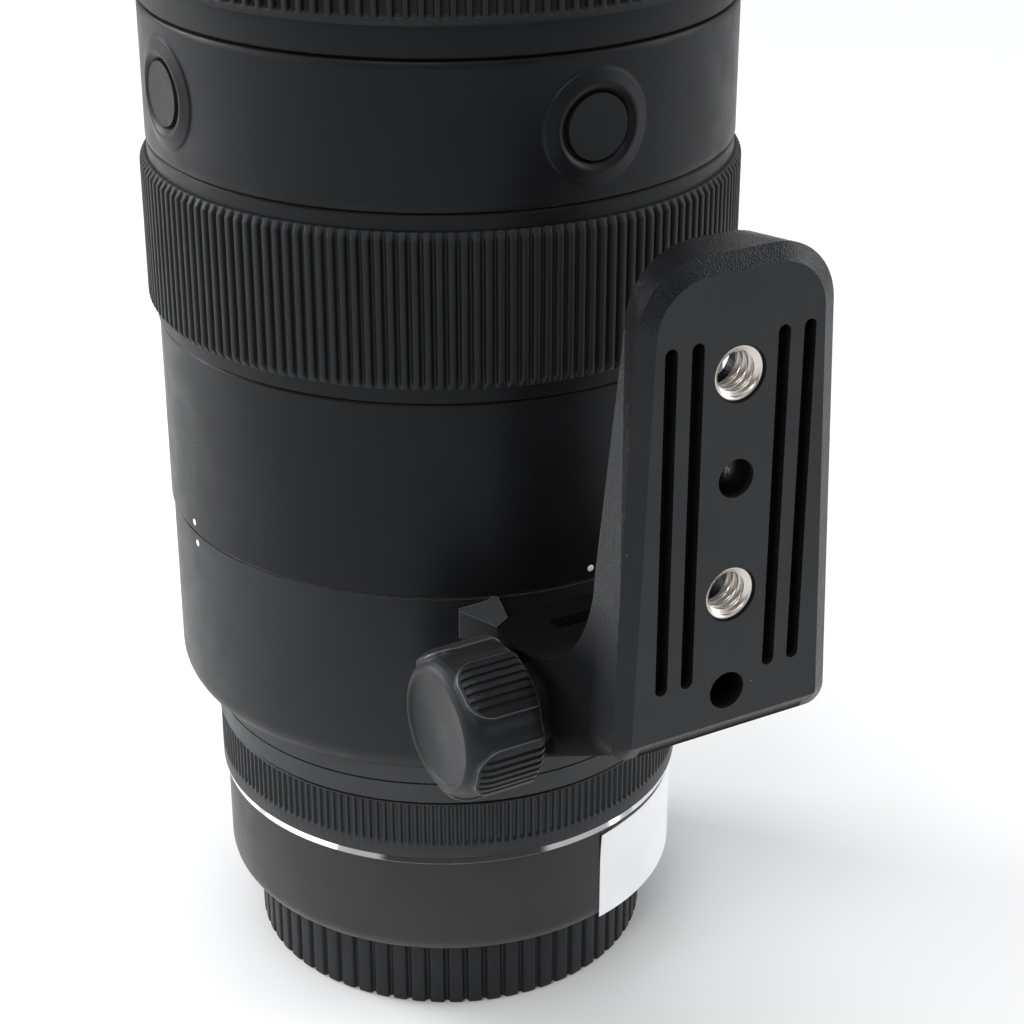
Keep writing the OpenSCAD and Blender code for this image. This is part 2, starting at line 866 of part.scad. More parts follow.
module front_ring() {
  rest = 0.9;
  color("#141516") rotate_extrude() polygon([
    [front_glass_r - rest, z_glass], [front_glass_r, z_glass], [front_glass_r, z_ring],
    [nose_r, z_ring], [nose_r, z_filter], [filter_r, z_filter], [front_glass_r - rest / 2, z_ring]
  ]);
}

// Zoom ring and what turns with it

module zoom_ring() {
  color("#1d1f20") difference() {
    grip_sleeve(z_zoom + half_seam, z_front - half_seam, zoom_grip_z, zoom_grip_end);
    zoom_key_block();
  }
}

module zoom_grip() {
  color("#101010")
    ribbed_ring(zoom_ribs, seat_r, zoom_grip_r, zoom_rib_depth, zoom_grip_z, zoom_grip_end);
}

module zoom_key_block() {
  inner = cam_in + cam_wall / 4;
  outer = ring_bore + 0.6 * sleeve_wall;
  rotate([0, 0, key_az]) translate([inner, -key_w / 2, z_key - key_h / 2])
    cube([outer - inner, key_w, key_h]);
}

module zoom_key() {
  color("goldenrod") zoom_key_block();
}

module cam_barrel() {
  color("slategray") difference() {
    ring(cam_in, cam_r, z_cam, z_cam_end);
    for (i = [0 : followers - 1]) {
      helical_slot(variator_az + i * 360 / followers, z_vari + cell_len / 2, variator_travel);
      helical_slot(compensator_az + i * 360 / followers, z_comp + cell_len / 2, compensator_travel);
    }
    zoom_key_block();
  }
}

// Moving lens groups

module variator_cell() {
  color("#303234") sliding_cell(z_vari, variator_az, variator_r);
}

module variator_lens() {
  front_hollow = 2;
  back_hollow = 1.5;
  color("lightcyan", 0.5) translate([0, 0, z_vari + cell_len / 2])
    glass(variator_r, group_edge, -front_hollow, -back_hollow);
}

module variator_pins() {
  color("goldenrod") follower_pins(z_vari, variator_az);
}

module compensator_cell() {
  color("#303234") sliding_cell(z_comp, compensator_az, compensator_r);
}

module compensator_lens() {
  bulge = 2;
  color("lightcyan", 0.5) translate([0, 0, z_comp + cell_len / 2 - group_edge])
    glass(compensator_r, group_edge, bulge, bulge);
}

module compensator_pins() {
  color("goldenrod") follower_pins(z_comp, compensator_az);
}

// Focus ring, focus group and control ring

module focus_ring() {
  color("#1d1f20")
    grip_sleeve(z_focus + half_seam, z_band - half_seam, focus_grip_z, focus_grip_end);
}

module focus_grip() {
  color("#101010")
    ribbed_ring(focus_ribs, seat_r, focus_grip_r, focus_rib_depth, focus_grip_z, focus_grip_end);
}

module focus_cell() {
  wall = 3;
  ear_w = 8;
  rod_wall = 1.7;
  ear_end = rod_out + rod_r + rod_wall;
  ear_root = focus_lens_r + wall / 2;
  color("#303234") difference() {
    union() {
      ring(focus_lens_r, focus_lens_r + wall, z_focus_cell, z_focus_cell + focus_cell_len);
      for (side = [-1, 1])
        translate([side * (ear_root + ear_end) / 2, 0, z_focus_cell + focus_cell_len / 2])
          cube([ear_end - ear_root, ear_w, focus_cell_len], center = true);
    }
    for (side = [-1, 1]) translate([side * rod_out, 0, z_focus_cell - over])
      cylinder(r = rod_r + rod_fit, h = focus_cell_len + 2 * over);
  }
}

module focus_lens() {
  edge = 4;
  front_bulge = 2.4;
  back_hollow = 1.2;
  color("lightcyan", 0.5) translate([0, 0, z_focus_cell + edge / 2])
    glass(focus_lens_r, edge, front_bulge, -back_hollow);
}

module control_ring() {
  color("#1a1b1c") ribbed_ring(control_ribs, bearing_r + run_gap, control_r, control_rib_depth,
    z_control + half_seam, z_neck - half_seam);
}

// Tripod collar, foot and lock knob

module tripod_collar() {
  bore = neck_r + run_gap;
  round_r = collar_r - bore;
  z0 = z_collar + half_seam;
  z1 = z_body - half_seam;
  color("#232527") union() {
    rotate_extrude() difference() {
      union() {
        translate([bore, z0 + round_r]) circle(round_r);
        translate([bore, z0 + round_r]) square([collar_r - bore, z1 - z0 - round_r - bevel]);
        translate([bore, z1 - bevel]) square([collar_r - bore - bevel, bevel]);
      }
      square([bore, z1]);
      translate([0, z_tube - half_seam]) square([ring_bore, collar_len]);
    }
    saddle();
    for (side = [0, 1]) mirror([side, 0, 0]) collar_ear();
  }
}

// Block between the collar and the foot
module saddle() {
  low = z_neck_low + saddle_foot;
  high = z_neck_top - ear_t - ear_gap;
  translate([-saddle_half, -foot_seat, low])
    cube([2 * saddle_half, foot_seat - saddle_in, high - low]);
}

// Ear with a sloping top that keeps the foot from shifting sideways
module collar_ear() {
  inner = tongue_half + ear_gap;
  front = -tongue_out + ear_gap;
  low = z_neck_top - ear_t;
  top = z_body - seam;
  outer = inner + ear_reach;
  difference() {
    translate([0, 0, low]) linear_extrude(top - low) polygon([
      [inner, -saddle_in + ear_root], [inner, front], [inner + ear_tip, front],
      [outer, front + ear_drop], [outer - ear_root / 2, front + ear_drop + ear_root]
    ]);
    translate([inner, -saddle_in, top]) rotate([ear_pitch, ear_roll, 0])
      translate([-foot_seat / 2, -foot_seat / 2, 0]) cube(foot_seat);
  }
}

function foot_half(z) = foot_half_w + (z - z_foot) * foot_slope;

// Centres of the plate's round corners, which an inset outline shares
foot_corner_z = z_foot_top - foot_corner_r;
foot_corner_x = foot_half(foot_corner_z) - foot_corner_r * foot_taper;
foot_low_x = foot_half(z_foot + foot_low_r) - foot_low_r * foot_taper;
z_bend = z_neck_top + foot_fillet;
corner_steps = 15;
low_steps = 6;

// Right half of the plate's front view, from the bottom up; the draft narrows its upper end
function plate_half(inset, draft) = concat(
  [for (i = [0 : low_steps]) [foot_low_x, z_foot + foot_low_r]
    + polar(foot_low_r - inset, right_angle * (i / low_steps - 1))],
  [[foot_half(z_bend) - inset * foot_taper, z_bend]],
  [for (i = [0 : corner_steps]) [foot_corner_x - draft, foot_corner_z]
    + polar(foot_corner_r - inset, right_angle * i / corner_steps)]
);

function plate_outline(inset, draft) =
  let (half = plate_half(inset, draft), n = len(half))
  concat(half, [for (i = [n - 1 : -1 : 0]) [-half[i].x, half[i].y]]);

// Solid between two outlines with as many points, at two heights
module loft(lower, upper, z0, z1) {
  n = len(lower);
  points = [for (p = lower) [p.x, p.y, z0], for (p = upper) [p.x, p.y, z1]];
  walls = [for (i = [0 : n - 1]) let (j = (i + 1) % n) each [[i, i + n, j + n], [i, j + n, j]]];
  polyhedron(points, concat([[for (i = [0 : n - 1]) i], [for (i = [0 : n - 1]) 2 * n - 1 - i]], walls));
}

// Plate of the foot, with a bevel around its outer face
module foot_plate() {
  rotate([right_angle, 0, 0]) {
    loft(plate_outline(0, foot_draft), plate_outline(0, 0), foot_back, bevel_out);
    loft(plate_outline(0, 0), plate_outline(foot_bevel_w, 0), bevel_out, foot_out);
  }
}

// Side view of the neck: a hollow fillet on top and a sloping underside
module neck_profile() {
  fillet_n = foot_back - foot_fillet;
  polygon([
    [foot_seat, z_neck_top], [chin_out, z_neck_top], [chin_out, z_foot], [foot_seat, z_neck_low]
  ]);
  difference() {
    translate([fillet_n, z_neck_top - over]) square([foot_fillet + over, foot_fillet + over]);
    translate([fillet_n, z_neck_top + foot_fillet]) circle(foot_fillet);
  }
}

// Cutter that rounds the two lower edges of the neck
module neck_edges() {
  length = neck_run / cos(neck_angle);
  side = foot_half_w - neck_inset;
  translate([0, -foot_seat, z_neck_low]) rotate([right_angle - neck_angle, 0, 0])
    translate([0, 0, -neck_round]) linear_extrude(length + 2 * neck_round)
      for (flip = [0, 1]) mirror([flip, 0]) difference() {
        translate([side - neck_round, -over]) square([neck_round + 2 * over, neck_round + over]);
        translate([side - neck_round, neck_round]) circle(neck_round);
      }
}

// Neck between the collar and the plate
module foot_neck() {
  low = z_neck_low - over;
  high = z_bend - neck_inset;
  wide = 2 * (foot_half_w + neck_drop);
  difference() {
    intersection() {
      rotate([right_angle, 0, 0]) translate([0, 0, foot_seat]) linear_extrude(neck_run) polygon([
        [-foot_half(low) + neck_inset, low], [foot_half(low) - neck_inset, low],
        [foot_half(high) - neck_inset, high], [-foot_half(high) + neck_inset, high]
      ]);
      rotate([right_angle, 0, -right_angle]) linear_extrude(wide, center = true) neck_profile();
    }
    neck_edges();
  }
}

// Slot with round ends in the outer face
module face_slot(x, z0, z1) {
  floor_n = foot_out - slot_depth;
  translate([x, 0, 0]) {
    for (z = [z0, z1]) out_cylinder(slot_w / 2, z, floor_n, foot_out + over);
    translate([-slot_w / 2, -foot_out - over, z0]) cube([slot_w, slot_depth + over, z1 - z0]);
  }
}

// Tongue of the foot between the collar's ears
module foot_tongue() {
  shoulder = tongue_half + shoulder_w;
  step = -foot_seat + shoulder_step;
  translate([0, 0, z_neck_top - tongue_t]) linear_extrude(tongue_t) polygon([
    [-tongue_half, -tongue_out], [tongue_half, -tongue_out], [shoulder, step],
    [shoulder, -foot_seat], [-shoulder, -foot_seat], [-shoulder, step]
  ]);
}

module foot() {
  slot_low = z_foot + slot_low_gap;
  slot_high = z_foot_top - slot_top_gap;
  color("#3a3d40") difference() {
    union() {
      foot_plate();
      foot_neck();
      foot_tongue();
    }
    for (i = [0, 1]) {
      rise = z_foot + i * socket_pitch;
      out_cylinder(insert_r, rise + socket_lift, foot_back - over, foot_out + over);
      out_cylinder(sink_r, rise + socket_lift, foot_out - insert_sunk, foot_out + over);
      out_cylinder(pin_hole_r, rise + pin_hole_lift, foot_back - over, foot_out + over);
    }
    for (side = [-1, 1]) for (inset = slot_insets)
      face_slot(side * (foot_half_top - inset), slot_low, slot_high);
    translate([-latch_half, -foot_seat - latch_gap - latch_w, z_neck_top - latch_depth])
      cube([2 * latch_half, latch_w, latch_depth + over]);
    translate([-knob_pocket_x, -knob_out, z_knob]) rotate([0, -right_angle, 0])
      cylinder(r = knob_pocket_r, h = foot_half_w);
    translate([-knob_pocket_x - over, -knob_out, z_knob]) radial_cylinder(screw_r + screw_fit, 0,
      knob_pocket_x + screw_end + 2 * over);
  }
}

module socket_inserts() {
  color("silver") for (i = [0, 1]) difference() {
    out_cylinder(insert_r, z_foot + socket_lift + i * socket_pitch, foot_back, foot_out - insert_sunk);
    out_cylinder(socket_r, z_foot + socket_lift + i * socket_pitch, foot_back - over, foot_out);
  }
}

// Places a piece of the knob, drawn along +Z from its inner end
module on_knob_axis() {
  translate([-knob_gap_x, -knob_out, z_knob]) rotate([0, -right_angle, 0]) children();
}

// Cross-section of the knob: grooved pads between hollow flutes
module knob_section() {
  half_chord = knob_r * sin(flute_arc / 2);
  flute_r = (half_chord * half_chord + flute_depth * flute_depth) / (2 * flute_depth);
  flute_out = knob_r * cos(flute_arc / 2) - flute_depth + flute_r;
  difference() {
    circle(knob_r);
    for (i = [0 : knob_pads - 1]) rotate(knob_pad_az + i * 360 / knob_pads) {
      rotate(180 / knob_pads) translate([flute_out, 0]) circle(flute_r);
      for (g = [0 : pad_grooves - 1])
        rotate((g - (pad_grooves - 1) / 2) * groove_step) translate([knob_r, 0]) circle(groove_r);
    }
  }
}

module lock_knob() {
  shoulder = knob_len - knob_nose;
  crown = knob_len - knob_crown;
  color("#2c2e30") on_knob_axis() difference() {
    intersection() {
      linear_extrude(knob_len) knob_section();
      rotate_extrude() polygon([
        [0, 0], [knob_r - knob_chamfer, 0], [knob_r + over, knob_chamfer + over],
        [knob_r + over, shoulder - over], [knob_r, shoulder], [knob_r - knob_crown_in, crown],
        [knob_r - knob_rim_in, knob_len], [0, knob_len]
      ]);
    }
    translate([0, 0, knob_len - knob_cap_sunk - knob_cap_t]) cylinder(r = knob_cap_r, h = knob_nose);
  }
}

module knob_cap() {
  color("gainsboro") on_knob_axis() translate([0, 0, knob_len - knob_cap_sunk - knob_cap_t])
    difference() {
      cylinder(r = knob_cap_r, h = knob_cap_t);
      translate([0, 0, knob_cap_t]) mirror([0, 0, 1]) dome(knob_cap_r - over, knob_cap_t / 2);
    }
}

module knob_screw() {
  washer_r = 5.5;
  washer_t = knob_gap_x - knob_pocket_x - half_seam;
  color("silver") translate([0, -knob_out, z_knob]) {
    radial_cylinder(screw_r, -knob_gap_x, screw_end);
    radial_cylinder(washer_r, -knob_gap_x, -knob_gap_x + washer_t);
  }
}

// Buttons, switches and rear cap

module fn_button(index) {
  color("#2b2d2f") translate([0, 0, z_fn]) rotate([0, 0, foot_az + index * 360 / fn_count])
    push_button(fn_r, fn_top);
}

module fn_button_1() { fn_button(0); }
module fn_button_2() { fn_button(1); }
module fn_button_3() { fn_button(2); }
module fn_button_4() { fn_button(3); }

module display_button() {
  color("#2b2d2f") translate([0, 0, z_controls]) rotate([0, 0, display_button_az])
    push_button(small_r, small_top);
}

module side_button() {
  color("#2b2d2f") translate([0, 0, z_controls]) rotate([0, 0, side_button_az])
    push_button(small_r, small_top);
}

// Slider with three ridges across its top, at the rear end of its travel
module slider(y) {
  ridge_h = 0.5;
  ridge_w = 0.8;
  low = z_controls - (slider_len + switch_travel) / 2;
  translate([slider_in, y - slider_w / 2, low]) {
    cube([slider_top - slider_in, slider_w, slider_len]);
    for (i = [1 : 3]) translate([slider_top - slider_in, 0, i * slider_len / 4 - ridge_w / 2])
      cube([ridge_h, slider_w, ridge_w]);
  }
}

module focus_switch() { color("#303336") slider(-slider_y); }
module limit_switch() { color("#303336") slider(slider_y); }

module rear_cap() {
  cap_lug_z = flange_z - spigot_len + lug_t + run_gap;
  color("#151515") union() {
    difference() {
      union() {
        linear_extrude(cap_rib_end) polygon(rib_points(cap_ribs, cap_r - cap_rib_depth, cap_r));
        cylinder(r = cap_core_r, h = cap_top);
      }
      translate([0, 0, cap_floor]) cylinder(r = cap_wall_in, h = cap_top);
    }
    for (i = [0 : lugs - 1])
      ring_arc(spigot_r + run_gap, cap_wall_in + cap_lug_root, cap_lug_z, cap_lug_z + lug_t,
        lug_az + i * 360 / lugs, lug_arc);
  }
}

lens_mount();
mount_screws();
mount_gasket();
contact_block();
rear_baffle();
rear_barrel();
trim_ring();
rear_tube();
rear_cell();
rear_element();
main_tube();
body_shell();
display_window();
switch_plate();
button_band();
guide_barrel();
mid_plate();
iris_unit();
stabiliser_unit();
focus_rods();
focus_motor();
front_barrel();
filter_ring();
front_cell();
front_element();
front_ring();
zoom_ring();
zoom_grip();
zoom_key();
cam_barrel();
variator_cell();
variator_lens();
variator_pins();
compensator_cell();
compensator_lens();
compensator_pins();
focus_ring();
focus_grip();
focus_cell();
focus_lens();
control_ring();
tripod_collar();
foot();
socket_inserts();
lock_knob();
knob_cap();
knob_screw();
fn_button_1();
fn_button_2();
fn_button_3();
fn_button_4();
display_button();
side_button();
focus_switch();
limit_switch();
rear_cap();
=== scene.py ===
"""Looks of the camera zoom lens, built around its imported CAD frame. Metres, in the CAD frame."""
import json
import math

import bmesh
import bpy
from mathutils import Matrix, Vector


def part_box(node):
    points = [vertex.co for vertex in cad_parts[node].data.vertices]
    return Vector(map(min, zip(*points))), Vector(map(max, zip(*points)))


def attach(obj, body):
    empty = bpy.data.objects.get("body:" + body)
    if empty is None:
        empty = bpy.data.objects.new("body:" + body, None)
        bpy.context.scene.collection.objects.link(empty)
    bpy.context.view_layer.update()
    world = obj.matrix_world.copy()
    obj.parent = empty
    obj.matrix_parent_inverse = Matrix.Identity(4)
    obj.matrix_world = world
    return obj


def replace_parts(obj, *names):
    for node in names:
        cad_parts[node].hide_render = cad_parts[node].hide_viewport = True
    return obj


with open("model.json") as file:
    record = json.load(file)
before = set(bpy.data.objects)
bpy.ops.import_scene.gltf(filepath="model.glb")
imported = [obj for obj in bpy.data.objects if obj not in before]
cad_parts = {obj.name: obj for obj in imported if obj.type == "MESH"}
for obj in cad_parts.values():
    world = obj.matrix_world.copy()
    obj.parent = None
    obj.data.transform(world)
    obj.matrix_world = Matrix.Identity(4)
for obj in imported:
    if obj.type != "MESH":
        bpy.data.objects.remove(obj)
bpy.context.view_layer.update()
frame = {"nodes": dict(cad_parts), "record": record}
NODES = frame["nodes"]
MM = 0.001
TAU = 2 * math.pi


def span(node, axis):
    """Lower and upper end of a CAD node along one axis, in millimetres."""
    low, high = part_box(node)
    return low[axis] / MM, high[axis] / MM


# Sizes that the scene shares with the CAD source, in millimetres
SEAT_R = 40.6
BODY_R = 41.6
COLLAR_R = 41.3
BAND_R = 42.0
RING_R = 41.9
REAR_R = 35.5
FOOT_AZ = -90
FOCUS_GRIP = {"ribs": 168, "tip": span("focus_grip", 0)[1], "depth": 0.7, "bore": SEAT_R,
              "z": span("focus_grip", 2)}
ZOOM_GRIP = {"ribs": 138, "tip": span("zoom_grip", 0)[1], "depth": 0.9, "bore": SEAT_R,
             "z": span("zoom_grip", 2)}
CONTROL = {"ribs": 192, "tip": span("control_ring", 0)[1], "depth": 0.45, "bore": 33.3,
           "z": (span("control_ring", 2)[0] - 0.75, span("control_ring", 2)[1])}
BAND = {"bore": 38.4, "z": span("button_band", 2), "bevel": 0.2}
TRIM = {"bore": 33.2, "r": span("trim_ring", 0)[1], "z": span("trim_ring", 2)[0]}
CAP = {"ribs": 66, "tip": span("rear_cap", 0)[1], "depth": 0.65, "bore": 28.5,
       "top": span("rear_cap", 2)[1]}
FILTER = {"minor": 38.1, "major": 38.5, "out": span("filter_ring", 0)[1], "pitch": 0.75, "sink": 0.3,
          "ends": span("filter_ring", 2), "cols": 240, "steps": 6}
SOCKET_FACE = -span("socket_inserts", 1)[0]
SOCKET = {"minor": 2.6, "major": 3.2, "out": 3.5, "pitch": 1.27, "sink": 0.5,
          "ends": (SOCKET_FACE - 4.4, SOCKET_FACE), "cols": 96, "steps": 20}
SOCKET_Z = (89.7, 119.7)
KNOB = {"x": span("lock_knob", 0)[1], "out": 52.3, "z": 66.9, "r": 10.5, "pads": 5, "flute_az": 18.4}


# Small helpers

def metres(sizes_mm):
    """The same sizes in metres."""
    return tuple(size * MM for size in sizes_mm)


def polar(r, az, z):
    """Point in metres from a radius and height in millimetres and an azimuth in degrees."""
    a = math.radians(az)
    return Vector((r * math.cos(a), r * math.sin(a), z)) * MM


def ease(x, a, b):
    """Smooth step from 0 at a to 1 at b."""
    t = min(1, max(0, (x - a) / (b - a)))
    return t * t * (3 - 2 * t)


def along(points, x):
    """Height of a polyline of (x, y) points at x."""
    for (x0, y0), (x1, y1) in zip(points, points[1:]):
        if x <= x1:
            return y0 + (y1 - y0) * max(0, x - x0) / (x1 - x0)
    return points[-1][1]


def piece(name, verts, faces, material, body, smooth_angle=40):
    """New mesh object, shaded smooth up to an angle, that rides on a CAD body."""
    mesh = bpy.data.meshes.new(name)
    mesh.from_pydata([tuple(v) for v in verts], [], faces)
    bm = bmesh.new()
    bm.from_mesh(mesh)
    bmesh.ops.recalc_face_normals(bm, faces=bm.faces)
    bm.to_mesh(mesh)
    bm.free()
    mesh.polygons.foreach_set("use_smooth", [True] * len(mesh.polygons))
    mesh.set_sharp_from_angle(angle=math.radians(smooth_angle))
    mesh.materials.append(material)
    obj = bpy.data.objects.new(name, mesh)
    bpy.context.scene.collection.objects.link(obj)
    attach(obj, body)
    return obj


def ring_faces(rows, cols, close_rows=True):
    """Quads of a grid that closes round its columns, and round its rows too for a solid ring."""
    last = rows if close_rows else rows - 1
    return [
        (i * cols + j, i * cols + (j + 1) % cols,
         (i + 1) % rows * cols + (j + 1) % cols, (i + 1) % rows * cols + j)
        for i in range(last) for j in range(cols)
    ]


def fan_faces(start, cols, tip):
    """Triangles from a ring of points to one point."""
    return [(start + j, start + (j + 1) % cols, tip) for j in range(cols)]


# Materials

NICK = {"radius_mm": 0.9, "grain_mm": 0.6, "ragged": (0.2, 1.3)}


class Shader:
    """A node material whose surface is one Principled shader."""

    def __init__(self, name, **sockets):
        self.material = bpy.data.materials.new(name)
        self.material.use_nodes = True
        self.tree = self.material.node_tree
        self.surface = self.tree.nodes["Principled BSDF"]
        for key, value in sockets.items():
            self.surface.inputs[key.replace("_", " ")].default_value = value
        self.place = self.add("ShaderNodeTexCoord").outputs["Object"]

    def add(self, kind, **settings):
        """New node; a setting is one of its properties or one of its sockets."""
        node = self.tree.nodes.new(kind)
        for key, value in settings.items():
            if hasattr(node, key):
                setattr(node, key, value)
            else:
                node.inputs[key.replace("_", " ")].default_value = value
        return node

    def link(self, a, b):
        self.tree.links.new(a, b)

    def split(self, vector):
        """The three components of a vector."""
        node = self.add("ShaderNodeSeparateXYZ")
        self.link(vector, node.inputs["Vector"])
        return [node.outputs[axis] for axis in "XYZ"]

    def normals(self):
        """The three components of the surface's normal in the CAD frame."""
        return self.split(self.add("ShaderNodeTexCoord").outputs["Normal"])

    def noise(self, grain_mm, detail=3.0, roughness=0.55):
        node = self.add("ShaderNodeTexNoise", Scale=1 / (grain_mm * MM), Detail=detail, Roughness=roughness)
        self.link(self.place, node.inputs["Vector"])
        return node.outputs["Fac"]

    def spread(self, value, low, high, from_low=0.35, from_high=0.65):
        """Maps a range of a value, by default the usual range of a noise, to low and high."""
        node = self.add("ShaderNodeMapRange", From_Min=from_low, From_Max=from_high, To_Min=low,
                        To_Max=high)
        self.link(value, node.inputs["Value"])
        return node.outputs["Result"]

    def math(self, operation, a, b):
        node = self.add("ShaderNodeMath", operation=operation)
        for socket, value in zip(node.inputs, (a, b)):
            if isinstance(value, (int, float)):
                socket.default_value = value
            else:
                self.link(value, socket)
        return node.outputs["Value"]

    def mix(self, factor, a, b):
        """Mixes two colours, each a tuple or a node's output."""
        node = self.add("ShaderNodeMix", data_type="RGBA")
        self.link(factor, node.inputs["Factor"])
        for socket, value in ((node.inputs[6], a), (node.inputs[7], b)):
            if isinstance(value, tuple):
                socket.default_value = (*value, 1)
            else:
                self.link(value, socket)
        return node.outputs[2]

    def bump(self, height, distance_mm):
        node = self.add("ShaderNodeBump", Strength=1.0, Distance=distance_mm * MM)
        self.link(height, node.inputs["Height"])
        return node.outputs["Normal"]

    def specks(self, spacing_mm, radius_mm, share):
        """Factor that is 1 in a few small dust specks."""
        cells = self.add("ShaderNodeTexVoronoi", Scale=1 / (spacing_mm * MM))
        self.link(self.place, cells.inputs["Vector"])
        near = self.math("LESS_THAN", cells.outputs["Distance"], radius_mm / spacing_mm)
        split = self.add("ShaderNodeSeparateColor")
        self.link(cells.outputs["Color"], split.inputs["Color"])
        return self.math("MULTIPLY", near, self.math("LESS_THAN", split.outputs["Red"], share))

    def nick(self, place_mm):
        """Factor that is 1 in a small ragged dent."""
        off = self.add("ShaderNodeVectorMath", operation="DISTANCE")
        self.link(self.place, off.inputs[0])
        off.inputs[1].default_value = metres(place_mm)
        ragged = self.spread(self.noise(NICK["grain_mm"]), *NICK["ragged"])
        edge = self.math("MULTIPLY", ragged, NICK["radius_mm"] * MM)
        return self.math("LESS_THAN", off.outputs["Value"], edge)

    def colour(self, value):
        self.link(value, self.surface.inputs["Base Color"])

    def rough(self, value):
        self.link(value, self.surface.inputs["Roughness"])

    def level(self, value):
        self.link(value, self.surface.inputs["Specular IOR Level"])

    def normal(self, value):
        self.link(value, self.surface.inputs["Normal"])


COOL = (0.89, 0.945, 1.0, 1)
PLAIN = (1, 1, 1, 1)
SHEEN_ROUGH = 0.35
TONE_MM = 14
GLOSS_MM = 5
GLOSS_DRIFT = 0.04
DUST = {"spacing_mm": 2.6, "radius_mm": 0.11}
DUST_COLOUR = (0.16, 0.16, 0.16)
# Painted shade: faces that point up reflect less, which keeps the tops of the collar's ears darker
TOP_SHADE = {"share": 0.2, "normal_z": (0.6, 0.95)}
TOOL_MARKS_MM = (0.05, 0.05, 2.0)
METAL = {"patch_mm": 3, "dark": 0.92, "smooth": 0.8, "rough": 1.25}
HAZE = {"patch_mm": 6, "rough": 0.02, "dark": 0.97}


def coated(name, base, rough, level, grain_mm=0.16, grain=0.0035, dust=0.02, drift=0.12, sheen=0.0,
           shaded_top=False, gloss=COOL):
    """Painted or moulded surface: fine grain, slight drift of tone and gloss, a little dust."""
    s = Shader(name, Specular_IOR_Level=level, Specular_Tint=gloss, Sheen_Weight=sheen,
               Sheen_Roughness=SHEEN_ROUGH)
    darker, lighter = (tuple(c * k for c in base) for k in (1 - drift, 1 + drift))
    tone = s.mix(s.spread(s.noise(TONE_MM), 0, 1), darker, lighter)
    if dust:
        tone = s.mix(s.specks(share=dust, **DUST), tone, DUST_COLOUR)
    s.colour(tone)
    s.rough(s.spread(s.noise(GLOSS_MM), rough - GLOSS_DRIFT, rough + GLOSS_DRIFT))
    # Painted shade: less reflection on faces that point up
    if shaded_top:
        s.level(s.spread(s.normals()[2], level, TOP_SHADE["share"] * level, *TOP_SHADE["normal_z"]))
    s.normal(s.bump(s.noise(grain_mm), grain))
    return s.material


def metal(name, base, rough, grain=0.001):
    """Turned or polished metal with faint stretched tool marks."""
    s = Shader(name, Metallic=1.0)
    stretch = s.add("ShaderNodeMapping")
    stretch.inputs["Scale"].default_value = tuple(1 / (size * MM) for size in TOOL_MARKS_MM)
    s.link(s.place, stretch.inputs["Vector"])
    marks = s.add("ShaderNodeTexNoise", Scale=1.0, Detail=2.0)
    s.link(stretch.outputs["Vector"], marks.inputs["Vector"])
    darker = tuple(c * METAL["dark"] for c in base)
    s.colour(s.mix(s.spread(s.noise(METAL["patch_mm"]), 0, 1), darker, base))
    s.rough(s.spread(marks.outputs["Fac"], rough * METAL["smooth"], rough * METAL["rough"]))
    s.normal(s.bump(marks.outputs["Fac"], grain))
    return s.material


def glass(name, tint, coat_tint):
    """Coated optical glass with a faint haze."""
    s = Shader(name, Transmission_Weight=1.0, IOR=1.52, Coat_Weight=0.6, Coat_Roughness=0.02)
    s.surface.inputs["Coat Tint"].default_value = (*coat_tint, 1)
    haze = s.noise(HAZE["patch_mm"])
    s.rough(s.spread(haze, 0.0, HAZE["rough"]))
    s.colour(s.mix(s.spread(haze, 0, 1), tint, tuple(c * HAZE["dark"] for c in tint)))
    return s.material


# The foot's areas in the CAD frame, in millimetres; face is a range of the normal's Y
FOOT_AREAS = {
    "face": (-0.995, -0.97),
    "hollow_y": (-74.5, -68.5), "hollow_z": (80.0, 90.0),
    "slot_mouth_y": (-75.0, -74.2), "slot_floor_y": (-71.8, -70.5),
    "slot_half_x": 12.8, "slot_top_z": 125.5,
}
FOOT_NICKS = [(-16.9, -74.2, 120.3), (-17.0, -73.9, 91.0)]
FOOT_SHEEN = 0.012
# Painted shade: the darkest tone goes into the hollow and the slot and hole floors, standing in for their
# shade; the nicks, real dents, take it too
FOOT_TONE = {"patch_mm": 9, "dark": (0.0062, 0.0065, 0.0071), "light": (0.0088, 0.0092, 0.0099),
             "shade_and_nicks": (0.0030, 0.0032, 0.0035), "dust": (0.18, 0.18, 0.18)}
FOOT_DUST = {"spacing_mm": 1.9, "radius_mm": 0.09, "share": 0.03}
FOOT_ROUGH = {"patch_mm": 4, "range": (0.22, 0.30), "shade_and_nicks": 0.45}
FOOT_LEVEL = {"sides": 0.24, "face": 0.32, "shade_level_share": 0.16}
FOOT_BUMP = {"grit_mm": 0.23, "fine_mm": 0.12, "fine": 0.03, "nick": 1.5, "height_mm": 0.075}


